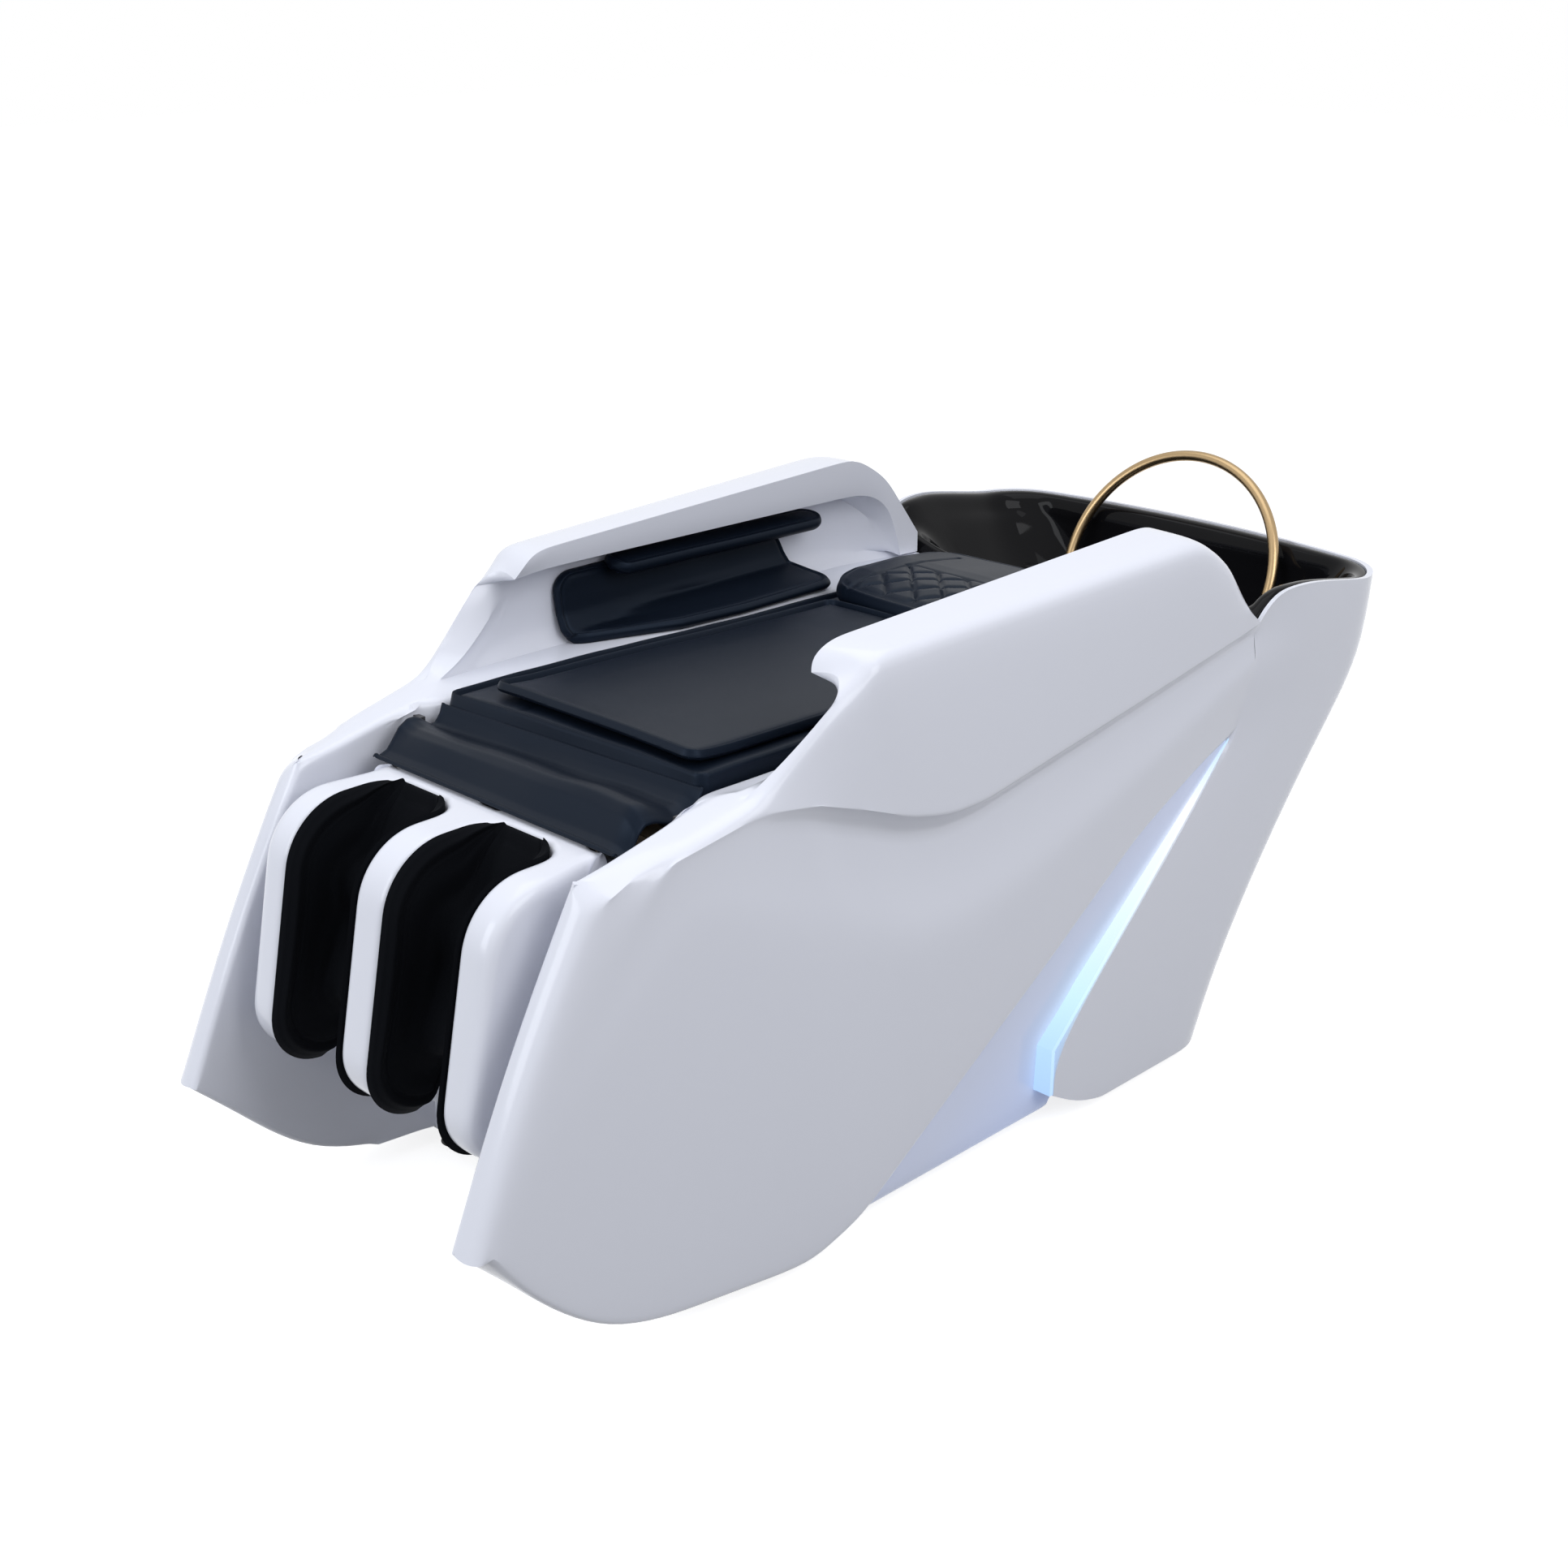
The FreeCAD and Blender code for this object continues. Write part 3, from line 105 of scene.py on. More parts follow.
floor_paint = bpy.data.materials.new("floor_paint")
floor_paint.use_nodes = True
floor_tree = floor_paint.node_tree
floor_shader = floor_tree.nodes["Principled BSDF"]
set_values(floor_shader, Roughness=0.95, Specular_IOR_Level=0.0,
           Emission_Color=(floor_glow, floor_glow, floor_glow, 1))
floor_tone = add_node(floor_tree, "ShaderNodeMapRange", To_Min=floor_shade, To_Max=floor_bright)
floor_seen = seen_straight(floor_tree)
floor_tree.links.new(floor_seen, floor_tone.inputs["Value"])
floor_tree.links.new(floor_tone.outputs["Result"], floor_shader.inputs["Base Color"])
floor_tree.links.new(floor_seen, floor_shader.inputs["Emission Strength"])
floor.data.materials.append(floor_paint)

world = bpy.context.scene.world or bpy.data.worlds.new("studio")
bpy.context.scene.world = world
world.use_nodes = True
world_tree = world.node_tree
soft_sky = world_tree.nodes["Background"]
set_values(soft_sky, Color=sky_colour, Strength=sky_strength)
white_sky = add_node(world_tree, "ShaderNodeBackground", Color=(1, 1, 1, 1))
sky_mix = add_node(world_tree, "ShaderNodeMixShader")
world_tree.links.new(seen_straight(world_tree), sky_mix.inputs[0])
world_tree.links.new(soft_sky.outputs[0], sky_mix.inputs[1])
world_tree.links.new(white_sky.outputs[0], sky_mix.inputs[2])
world_tree.links.new(sky_mix.outputs[0], world_tree.nodes["World Output"].inputs["Surface"])


def soft_lamp(name, place, aim, size, power, colour):
    """Square lamp turned to the point that it lights."""
    bpy.ops.object.light_add(type="AREA", location=place)
    lamp = bpy.context.object
    lamp.name = name
    lamp.data.size = size
    lamp.data.energy = power
    lamp.data.color = colour
    lamp.rotation_euler = (Vector(aim) - Vector(place)).to_track_quat("-Z", "Y").to_euler()


soft_lamp("top_lamp", (-0.2, 0.2, 3.4), (0, 0, 0.6), 2.6, 28, (0.95, 0.97, 1.0))
soft_lamp("foot_lamp", (-0.6, -3.6, 2.0), (0, 0, 0.5), 2.0, 46, (0.93, 0.96, 1.0))
soft_lamp("side_lamp", (3.3, -0.3, 2.9), (0, 0, 0.4), 2.2, 50, (0.96, 0.97, 1.0))
bpy.context.scene.view_settings.view_transform = "Standard"

# Works inside the shell
# The welded frame, plumbing, actuator, massager and their fixings, seen only from behind, below or through
# the openings. Each solid keeps its own shape and takes the finish of its slot: paint, zinc, brass, rubber.
# A finish is its roughness, its share of metal, and the scale and the depth in metres of its grain.
work_finishes = {
    "frame_paint": (0.45, 0.0, 220, 0.00015),
    "zinc_sheet": (0.36, 1.0, 90, 0.0001),
    "brass": (0.3, 1.0, 160, 0.00005),
    "copper_pipe": (0.32, 1.0, 120, 0.00005),
    "chrome": (0.2, 1.0, 0, 0),
    "bright_screws": (0.14, 1.0, 0, 0),
    "pump_casting": (0.55, 0.0, 300, 0.0003),
    "grey_plastic": (0.5, 0.0, 700, 0.00008),
    "black_plastic": (0.42, 0.0, 700, 0.00008),
    "black_rubber": (0.75, 0.0, 500, 0.0002),
    "roller_rubber": (0.7, 0.0, 500, 0.0002),
    "plywood": (0.62, 0.0, 60, 0.0002),
}
slot_colours = {entry["slot"]: entry["base_color"] for entry in frame["record"]["materials"]}


def slot_finish(slot, roughness, metallic, grain_scale, grain_depth, **changes):
    """Material of one slot of the record, with a fine grain on object coordinates and changes of its own."""
    finish = bpy.data.materials.new(slot)
    finish.use_nodes = True
    tree = finish.node_tree
    shader = tree.nodes["Principled BSDF"]
    set_values(shader, Base_Color=(*slot_colours[slot], 1), Roughness=roughness, Metallic=metallic)
    set_values(shader, **changes)
    if grain_depth:
        place = add_node(tree, "ShaderNodeTexCoord")
        grain = add_node(tree, "ShaderNodeTexNoise", Scale=grain_scale, Detail=3)
        bump = add_node(tree, "ShaderNodeBump", Distance=grain_depth)
        tree.links.new(place.outputs["Object"], grain.inputs["Vector"])
        tree.links.new(grain.outputs["Fac"], bump.inputs["Height"])
        tree.links.new(bump.outputs["Normal"], shader.inputs["Normal"])
    return finish


def paint(piece, finish):
    """One finish all over a piece."""
    piece.data.materials.clear()
    piece.data.materials.append(finish)


def only(piece):
    """Select one piece alone."""
    bpy.ops.object.select_all(action="DESELECT")
    piece.select_set(True)
    bpy.context.view_layer.objects.active = piece


def smooth(piece, degrees):
    """Smooth shading up to an angle."""
    only(piece)
    bpy.ops.object.shade_smooth_by_angle(angle=math.radians(degrees))


nodes_of_slot = {}
for part in frame["record"]["subparts"]:
    nodes_of_slot.setdefault(part["material_slot"], []).append(nodes[part["node"]])
for slot, look in work_finishes.items():
    finish = slot_finish(slot, *look)
    for node in nodes_of_slot[slot]:
        paint(node, finish)
        smooth(node, 35)

# White body shell
# One glass-fibre moulding with a gloss gel coat: the two fins and wings, the hooked armrests with their
# troughs, and the housing round the basin. It is drawn as lines that run from the foot end to the head
# end, and the skin is stretched over them, rounded at its edges and mirrored.
fin_columns = 7
post_columns = 6
arm_columns = 20
fin_inner_x = 0.277
edge_radius = 0.011
small_radius = 0.003
fin_round = 0.024
fin_bow = 0.010
fan_shares = (0.12, 0.24, 0.36, 0.48, 0.60, 0.72, 0.84, 0.92, 0.97)
sill_low = (0.338, 0.147)
sill_high = (0.367, 0.530)
sill_behind = 0.002
groove_deep = 0.027
groove_below = (0.010, 0.022)
brow_drop = 0.030
brow_share = 0.42
crown_reach = 0.034
crown_share = 0.5
roll_share = 0.29
nose_deep = 0.030
gel_coat = slot_finish("white_shell", 0.16, 0.0, 45, 0.00006,
                       Base_Color=(0.79, 0.805, 0.875, 1), Specular_IOR_Level=0.35)


def lengths_along(points):
    """Length of a broken line up to each of its points."""
    lengths = [0.0]
    for here, there in zip(points, points[1:]):
        lengths.append(lengths[-1] + (there - here).length)
    return lengths


def evenly(points, count):
    """Points spaced evenly by length along a broken line, or the points themselves if they are that many."""
    points = [Vector(point) for point in points]
    if len(points) == count:
        return points
    lengths = lengths_along(points)
    spread = []
    leg = 0
    for i in range(count):
        along = lengths[-1] * i / (count - 1)
        while leg < len(points) - 2 and along > lengths[leg + 1]:
            leg += 1
        share = (along - lengths[leg]) / (lengths[leg + 1] - lengths[leg])
        spread.append(points[leg].lerp(points[leg + 1], share))
    return spread


def shell_line(fin, post, arm):
    """A line of the shell in three stretches, each with its own number of columns."""
    front = evenly(fin, fin_columns + 1)
    middle = evenly(post, post_columns + 1)
    rear = evenly(arm, arm_columns + 1)
    return front + middle[1:] + rear[1:]


def stretch_skin(lines):
    """A grid with one row for each line, moved onto the lines."""
    bpy.ops.object.select_all(action="DESELECT")
    bpy.ops.mesh.primitive_grid_add(x_subdivisions=len(lines[0]) - 1, y_subdivisions=len(lines) - 1)
    skin = bpy.context.object
    for vertex, place in zip(skin.data.vertices, [point for line in lines for point in line]):
        vertex.co = place
    return skin


def join(pieces):
    """Pieces joined to the first of them."""
    only(pieces[0])
    for piece in pieces[1:]:
        piece.select_set(True)
    if len(pieces) > 1:
        bpy.ops.object.join()
    return pieces[0]


def join_skins(name, skins, gap=0.0008):
    """Skins joined to one piece, with shared edges welded and normals turned outward."""
    piece = join(skins)
    piece.name = name
    bpy.ops.object.mode_set(mode="EDIT")
    bpy.ops.mesh.select_all(action="SELECT")
    bpy.ops.mesh.remove_doubles(threshold=gap)
    bpy.ops.mesh.normals_make_consistent(inside=False)
    bpy.ops.object.mode_set(mode="OBJECT")
    return piece


def finish_with(piece, kind, **settings):
    """Add a modifier and apply it."""
    only(piece)
    modifier = piece.modifiers.new(kind.lower(), kind)
    for setting, value in settings.items():
        setattr(modifier, setting, value)
    bpy.ops.object.modifier_apply(modifier=modifier.name)


def mirrored(piece, levels, **settings):
    """Mirror a piece across the middle, and round it by subdivision."""
    finish_with(piece, "MIRROR", use_axis=(True, False, False), **settings)
    finish_with(piece, "SUBSURF", levels=levels, render_levels=levels)


def between(line, other, share, share_x=None):
    """Line part of the way to another one, with its own share for X where that is given."""
    mixed = [here.lerp(there, share) for here, there in zip(line, other)]
    if share_x is not None:
        for point, here, there in zip(mixed, line, other):
            point.x = here.x + (there.x - here.x) * share_x
    return mixed


def read_off(profile, at):
    """Value of a profile of (place, value) pairs at a place."""
    for (low, first), (high, second) in zip(profile, profile[1:]):
        if at <= high:
            return first + (second - first) * max(0.0, at - low) / (high - low)
    return profile[-1][1]


def within(share):
    """A share kept between nothing and one."""
    return max(0.0, min(1.0, share))


def sill_x(z):
    """Face of the recessed sill, which leans out to the light's tip."""
    share = within((z - sill_low[1]) / (sill_high[1] - sill_low[1]))
    return sill_low[0] + (sill_high[0] - sill_low[0]) * share


lower_line = shell_line(
    [(0.331, -0.936, 0.235), (0.334, -0.850, 0.130), (0.340, -0.760, 0.062), (0.346, -0.690, 0.038),
     (0.369, -0.427, 0.014)],
    [(0.369, -0.427, 0.014), (0.374, -0.331, 0.045), (0.377, -0.180, 0.147)],
    [(0.377, -0.180, 0.147), (0.380, 0.060, 0.305), (0.378, 0.255, 0.434), (0.374, 0.400, 0.499),
     (0.372, 0.492, 0.532)])
shoulder_line = shell_line(
    [(0.332, -0.752, 0.618), (0.349, -0.600, 0.590), (0.368, -0.430, 0.517)],
    [(0.368, -0.430, 0.517), (0.382, -0.243, 0.448)],
    [(0.382, -0.243, 0.448), (0.385, -0.143, 0.440), (0.387, -0.005, 0.470), (0.388, 0.252, 0.553),
     (0.387, 0.520, 0.648)])
lip_line = shell_line(
    [(0.331, -0.739, 0.6415), (0.346, -0.600, 0.669), (0.352, -0.500, 0.687)],
    [(0.352, -0.500, 0.687), (0.372, -0.420, 0.682), (0.382, -0.330, 0.652), (0.384, -0.255, 0.622)],
    [(0.384, -0.255, 0.622), (0.386, -0.180, 0.606), (0.387, -0.110, 0.606), (0.388, -0.0445, 0.618),
     (0.390, 0.241, 0.665), (0.390, 0.420, 0.695), (0.388, 0.520, 0.711)])
undercut = [(0, 0.0), (fin_columns, 0.1), (fin_columns + 3, 0.9), (fin_columns + post_columns, 1.0),
            (fin_columns + post_columns + 9, 0.85), (fin_columns + post_columns + arm_columns, 0.3)]
top_outer_line = shell_line(
    [(0.328, -0.728, 0.6525), (0.348, -0.497, 0.702)],
    [(0.348, -0.497, 0.702), (0.383, -0.316, 0.857)],
    [(0.383, -0.316, 0.857), (0.397, 0.356, 0.877), (0.396, 0.428, 0.836), (0.388, 0.518, 0.722)])
top_inner_line = shell_line(
    [(0.277, -0.728, 0.6545), (0.277, -0.560, 0.690), (0.300, -0.497, 0.702)],
    [(0.300, -0.497, 0.702), (0.322, -0.470, 0.725), (0.337, -0.424, 0.768), (0.341, -0.363, 0.815),
     (0.293, -0.352, 0.822), (0.287, -0.342, 0.838), (0.291, -0.318, 0.857)],
    [(0.292, -0.316, 0.857), (0.292, 0.356, 0.878), (0.292, 0.428, 0.838), (0.296, 0.518, 0.724)])
# The post's two edges and the blunt nose with its undercut are placed point by point.
post_outer = [(0.354, -0.462, 0.732), (0.362, -0.420, 0.768), (0.370, -0.378, 0.804), (0.377, -0.345, 0.832),
              (0.380, -0.330, 0.845)]
post_inner = [(0.322, -0.430, 0.716), (0.338, -0.370, 0.757), (0.345, -0.337, 0.805), (0.294, -0.354, 0.822),
              (0.286, -0.345, 0.838)]
top_outer_line[fin_columns + 1:fin_columns + post_columns] = [Vector(point) for point in post_outer]
top_inner_line[fin_columns + 1:fin_columns + post_columns] = [Vector(point) for point in post_inner]
groove_line = []
for column, lip in enumerate(lip_line):
    share = read_off(undercut, column)
    groove_line.append(lip - Vector((groove_deep * share, 0, groove_below[0] + groove_below[1] * share)))
flank_line = between(lower_line, shoulder_line, 0.55)
scoop_line = between(groove_line, shoulder_line, 0.5, 0.36)
under_lip_line = between(lip_line, groove_line, 0.25, 0.33)
face_line = between(lip_line, top_outer_line, 0.045)
brow_line = []
roll_line = []
crown_line = []
for lip, top, inner in zip(lip_line, top_outer_line, top_inner_line):
    drop = min(brow_drop, (top.z - lip.z) * brow_share)
    reach = min(crown_reach, (top.x - inner.x) * crown_share)
    brow_line.append(top - Vector((0, 0, drop)))
    roll_line.append(top - Vector((reach * roll_share, 0, drop * roll_share)))
    crown_line.append(top - Vector((reach, 0, 0)))
sill_line = []
for column, point in enumerate(lower_line):
    inner_x = fin_inner_x if column <= fin_columns else sill_x(point.z) - sill_behind
    sill_line.append(Vector((inner_x, point.y, point.z)))
outer_lines = [sill_line, lower_line, flank_line, shoulder_line, scoop_line, groove_line, under_lip_line,
               lip_line, face_line, brow_line, roll_line, crown_line, top_inner_line]
for line, share in zip(outer_lines[2:-2], fan_shares):
    for column, pull in enumerate((1.0, 0.6, 0.25)):
        fan = lower_line[column].lerp(top_outer_line[column], share)
        line[column] = line[column].lerp(fan, pull)
for line in outer_lines[1:-1]:
    line[0] = line[0] + Vector((0, fin_round * 0.4, 0))

# The fin's inner face and its front edge close the fin round the foot end.
for line in (sill_line, top_inner_line):
    line[0] = line[0] - Vector((0, fin_round * 0.75, 0))
inner_lines = []
for share in (0, *fan_shares[:-2], 0.90, 0.95, 1):
    inner_lines.append(between(sill_line, top_inner_line, share)[:fin_columns + 1])
    inner_lines[-1][0].y -= fin_bow * math.sin(math.pi * share)
# At its rear end the inner face bends in to the edge of the arm deck.
nose_edge = [Vector((0.2735, -0.560, 0.687)), Vector((0.262, -0.533, 0.689)), Vector((0.251, -0.515, 0.690))]
for column, nose in zip(range(fin_columns - 2, fin_columns + 1), nose_edge):
    for line in inner_lines[:-2]:
        line[column] = Vector((nose.x, nose.y, min(line[column].z, nose.z - nose_deep)))
    inner_lines[-2][column] = nose
outer_skin = stretch_skin(outer_lines)
fin_inside = stretch_skin([line[::-1] for line in inner_lines])
front_lines = []
for inner, outer in zip(inner_lines, outer_lines[1:-1]):
    wide = outer[0].x - fin_inner_x
    deep = outer[0].y - inner[0].y
    front_lines.append([inner[0], inner[0] + Vector((wide - fin_round, 0, 0)),
                        inner[0] + Vector((wide - fin_round * 0.3, deep * 0.3, 0)), outer[0]])
fin_front = stretch_skin(front_lines)

# The arm trough starts at the post and the hook of the armrest, and runs out at the notch before the basin.
hook = top_inner_line[fin_columns:fin_columns + post_columns + 1][::-1]
trough_paths = [
    [hook[1], (0.2915, -0.300, 0.842), (0.2915, 0.380, 0.834), (0.2915, 0.430, 0.815),
     (0.2915, 0.458, 0.772), (0.2915, 0.468, 0.722), (0.2915, 0.474, 0.700), (0.296, 0.518, 0.698)],
    [hook[2], (0.294, -0.300, 0.827), (0.294, 0.380, 0.816), (0.293, 0.425, 0.801), (0.292, 0.452, 0.765),
     (0.292, 0.462, 0.715), (0.292, 0.468, 0.694), (0.296, 0.518, 0.690)],
    [hook[3], (0.354, -0.300, 0.816), (0.354, 0.350, 0.808), (0.345, 0.410, 0.785), (0.315, 0.445, 0.735),
     (0.294, 0.466, 0.693), (0.297, 0.518, 0.6895)],
    [hook[4], (0.356, -0.340, 0.766), (0.356, 0.360, 0.752), (0.340, 0.420, 0.735), (0.310, 0.450, 0.712),
     (0.295, 0.467, 0.692), (0.298, 0.518, 0.689)],
    [hook[5], (0.352, -0.380, 0.715), (0.354, 0.370, 0.705), (0.335, 0.425, 0.702), (0.299, 0.518, 0.6885)],
    [hook[6], (0.335, -0.400, 0.690), (0.338, 0.380, 0.686), (0.320, 0.430, 0.687), (0.302, 0.518, 0.688)],
    [(0.251, -0.515, 0.690), (0.251, 0.518, 0.686)],
    [(0.251, -0.515, 0.640), (0.251, 0.518, 0.640)],
]
trough_lines = [top_inner_line[fin_columns + post_columns:]]
trough_lines += [evenly(path, arm_columns + 1) for path in trough_paths]
trough = stretch_skin(trough_lines)

# The housing goes on from the wing's rear edge and from the light strip, round the corner to the middle.
housing_corner = 0.112
housing_bow = 0.026
corner_turn = math.radians(80)
side_shares = (0, 0.06, 0.12, 0.2, 0.32, 0.5, 0.75, 1)
corner_steps = 6
back_steps = 4
rim_lip = 0.007
rim_turn = 0.020
rim_rear_z = 0.724
plate_foot = 0.018
plate_turn = 0.030
half_widths = [(0.016, 0.368), (0.190, 0.371), (0.370, 0.374), (0.520, 0.381), (0.610, 0.390),
               (0.700, 0.399), (0.790, 0.407)]
rear_profile = [(0.016, 0.557), (0.110, 0.596), (0.202, 0.645), (0.383, 0.774), (0.465, 0.846),
                (0.533, 0.902), (0.587, 0.925), (0.640, 0.930), (0.700, 0.929), (0.790, 0.919)]
rim_profile = [(0.518, 0.712), (0.536, 0.729), (0.562, 0.749), (0.590, 0.7545), (0.650, 0.753),
               (0.700, 0.744), (0.800, 0.7255), (0.990, rim_rear_z)]


def back_round(half, rear, corner, bow):
    """Points from the middle of a bowed back round its corner to the side."""
    turn_y = rear - bow - corner
    bend = []
    for i in range(corner_steps + 1):
        angle = corner_turn * (1 - i / corner_steps)
        bend.append(Vector((half - corner * (1 - math.cos(angle)), turn_y + corner * math.sin(angle), 0)))
    shares = [i / back_steps for i in range(back_steps)]
    end = bend[0]
    return [Vector((end.x * share, rear + (end.y - rear) * share ** 2, 0)) for share in shares] + bend


def housing_line(start, end_z, inset, height=None):
    """Line round the housing from a point on its front edge to the middle of the back."""
    start = Vector(start)
    half = read_off(half_widths, end_z) - inset
    back = back_round(half, read_off(rear_profile, end_z) - inset, housing_corner, housing_bow)[::-1]
    line = []
    for share in side_shares[:-1]:
        line.append(Vector((start.x + (half - start.x) * min(1.0, share * 2),
                            start.y + (back[0].y - start.y) * share, 0)))
    line += back
    for i, point in enumerate(line):
        climb = min(1.0, i / len(side_shares))
        if i and height:
            point.z = height(point.y)
        else:
            point.z = start.z + (end_z - start.z) * climb
    return line


def rim_height(y):
    """Height of the housing's rim, which rises behind the arms."""
    return read_off(rim_profile, y)


rim_start = lip_line[-1]
lip_start = rim_start - Vector((rim_lip, 0, 0))
plate_edge = [lower_line[-1], (0.373, 0.386, 0.422), (0.372, 0.221, 0.267), (0.371, 0.090, 0.143),
              (0.370, 0.090, 0.069), (0.369, 0.150, 0.034), (0.368, 0.210, 0.018)]
plate_rears = (0.530, 0.415, 0.262, 0.140, 0.068, 0.034, plate_foot)
housing_lines = [
    housing_line(lip_start, rim_rear_z, rim_lip, lambda y: rim_height(y) - rim_turn),
    housing_line(lip_start, rim_rear_z, rim_lip, rim_height),
    housing_line(rim_start, rim_rear_z, 0, rim_height),
    housing_line(under_lip_line[-1], rim_rear_z, 0, lambda y: rim_height(y) - rim_turn / 4),
    housing_line(groove_line[-1], 0.690, 0),
    housing_line(shoulder_line[-1], 0.640, 0),
    housing_line(flank_line[-1], 0.590, 0),
]
for start, end_z in zip(plate_edge, plate_rears):
    housing_lines.append(housing_line(start, end_z, 0))
housing_lines.append(housing_line((0.338, 0.215, plate_foot), plate_foot, plate_turn))
housing = stretch_skin(housing_lines)
plate_return = stretch_skin(
    [[Vector(point) - Vector((plate_turn, 0, 0)), Vector(point)] for point in plate_edge])


def mark_edges(piece, kind, value, lines, touch=0.0012):
    """Give a weight to the edges that run along some lines, on either side of the middle."""
    spots = kdtree.KDTree(sum(len(line) for line in lines))
    owners = []
    for number, line in enumerate(lines):
        for i, point in enumerate(line):
            spots.insert(point, len(owners))
            owners.append((number, i))
    spots.balance()
    near = []
    for vertex in piece.data.vertices:
        spot = Vector((abs(vertex.co.x), vertex.co.y, vertex.co.z))
        near.append({owners[hit[1]] for hit in spots.find_range(spot, touch)})
    weights = piece.data.attributes.get(kind) or piece.data.attributes.new(kind, "FLOAT", "EDGE")
    for edge in piece.data.edges:
        first, second = (near[i] for i in edge.vertices)
        if any((number, i + step) in second for number, i in first for step in (1, -1)):
            weights.data[edge.index].value = value


body_shell = join_skins("body_shell", [outer_skin, fin_inside, fin_front, trough, housing, plate_return])
finish_with(body_shell, "MIRROR", use_axis=(True, False, False), merge_threshold=0.001)
mark_edges(body_shell, "bevel_weight_edge", 1.0, [
    top_inner_line[:fin_columns + 1], lower_line, sill_line, trough_lines[-2], nose_edge,
    [line[0] for line in inner_lines]])
finish_with(body_shell, "BEVEL", width=edge_radius, segments=3, limit_method="WEIGHT",
            use_clamp_overlap=False)
finish_with(body_shell, "BEVEL", width=small_radius, segments=2, limit_method="ANGLE",
            angle_limit=math.radians(50))
for crease, line in (
        (0.45, lip_line[fin_columns:]), (0.75, groove_line[fin_columns:]), (0.30, shoulder_line)):
    mark_edges(body_shell, "crease_edge", crease, [line])
finish_with(body_shell, "SUBSURF", levels=2, render_levels=2)
smooth(body_shell, 60)
paint(body_shell, gel_coat)
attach(body_shell, "bed")
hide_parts("left_side_panel", "right_side_panel", "left_armrest", "right_armrest",
            "left_arm_deck", "right_arm_deck", "rear_housing")
for node in nodes_of_slot["white_shell"]:
    paint(node, gel_coat)

# Service panel
# A cover plate of the same moulding over the hatch in the housing's back. It lies on the hatch's rebate and
# four dome-head screws with hexagon sockets hold it.
cover_half = 0.1695
cover_low = 0.1505
cover_high = 0.4295
cover_corner = 0.016
cover_proud = 0.0028
cover_thick = 0.004
cover_edge = 0.0014
behind_y = 1.1
cover_screw_inset = 0.0215
cover_screw_radius = 0.007
dome_share = 0.42
socket_radius = cover_screw_radius * 0.36
socket_deep = 0.004
socket_out = 0.003
bpy.ops.object.select_all(action="DESELECT")
bpy.ops.mesh.primitive_grid_add(x_subdivisions=28, y_subdivisions=24, size=2, rotation=(-math.pi / 2, 0, 0))
service_cover = bpy.context.object
service_cover.name = service_cover.data.name = "service_cover"
bpy.ops.object.transform_apply(location=True, rotation=True, scale=True)
cover_tall = (cover_high - cover_low) / 2
for vertex in service_cover.data.vertices:
    x = cover_half * math.sin(vertex.co.x * math.pi / 2)
    z = cover_tall * math.sin(vertex.co.z * math.pi / 2)
    past = Vector((abs(x) - cover_half + cover_corner, abs(z) - cover_tall + cover_corner))
    if min(past) > 0:
        past = past.normalized() * max(past) - past
        x += math.copysign(past.x, x)
        z += math.copysign(past.y, z)
    vertex.co = Vector((x, behind_y, (cover_low + cover_high) / 2 + z))
finish_with(service_cover, "SHRINKWRAP", target=body_shell, wrap_method="PROJECT", use_project_y=True,
            use_positive_direction=False, use_negative_direction=True, offset=cover_proud)
finish_with(service_cover, "SOLIDIFY", thickness=cover_thick, offset=-1)
finish_with(service_cover, "BEVEL", width=cover_edge, segments=2, limit_method="ANGLE",
            angle_limit=math.radians(50))
smooth(service_cover, 40)
paint(service_cover, gel_coat)
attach(service_cover, "bed")
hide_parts("service_panel")
dome_screws = []
for x in (-cover_half + cover_screw_inset, cover_half - cover_screw_inset):
    for z in (cover_low + cover_screw_inset, cover_high - cover_screw_inset):
        place, facing = service_cover.ray_cast(Vector((x, behind_y, z)), Vector((0, -1, 0)))[1:3]
        turn = facing.to_track_quat("Z", "Y").to_euler()
        bpy.ops.object.select_all(action="DESELECT")
        bpy.ops.mesh.primitive_cylinder_add(vertices=6, radius=socket_radius, depth=socket_deep,
                                            location=place + facing * socket_out, rotation=turn)
        socket = bpy.context.object
        bpy.ops.mesh.primitive_uv_sphere_add(segments=32, ring_count=16, radius=cover_screw_radius,
                                             location=place, rotation=turn, scale=(1, 1, dome_share))
        dome_screws.append(bpy.context.object)
        bpy.ops.object.transform_apply(location=True, rotation=True, scale=True)
        finish_with(dome_screws[-1], "BOOLEAN", object=socket, operation="DIFFERENCE")
        bpy.data.objects.remove(socket)
screws = join(dome_screws)
screws.name = screws.data.name = "service_dome_screws"
smooth(screws, 35)
paint(screws, bpy.data.materials["bright_screws"])
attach(screws, "bed")
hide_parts("service_screws")

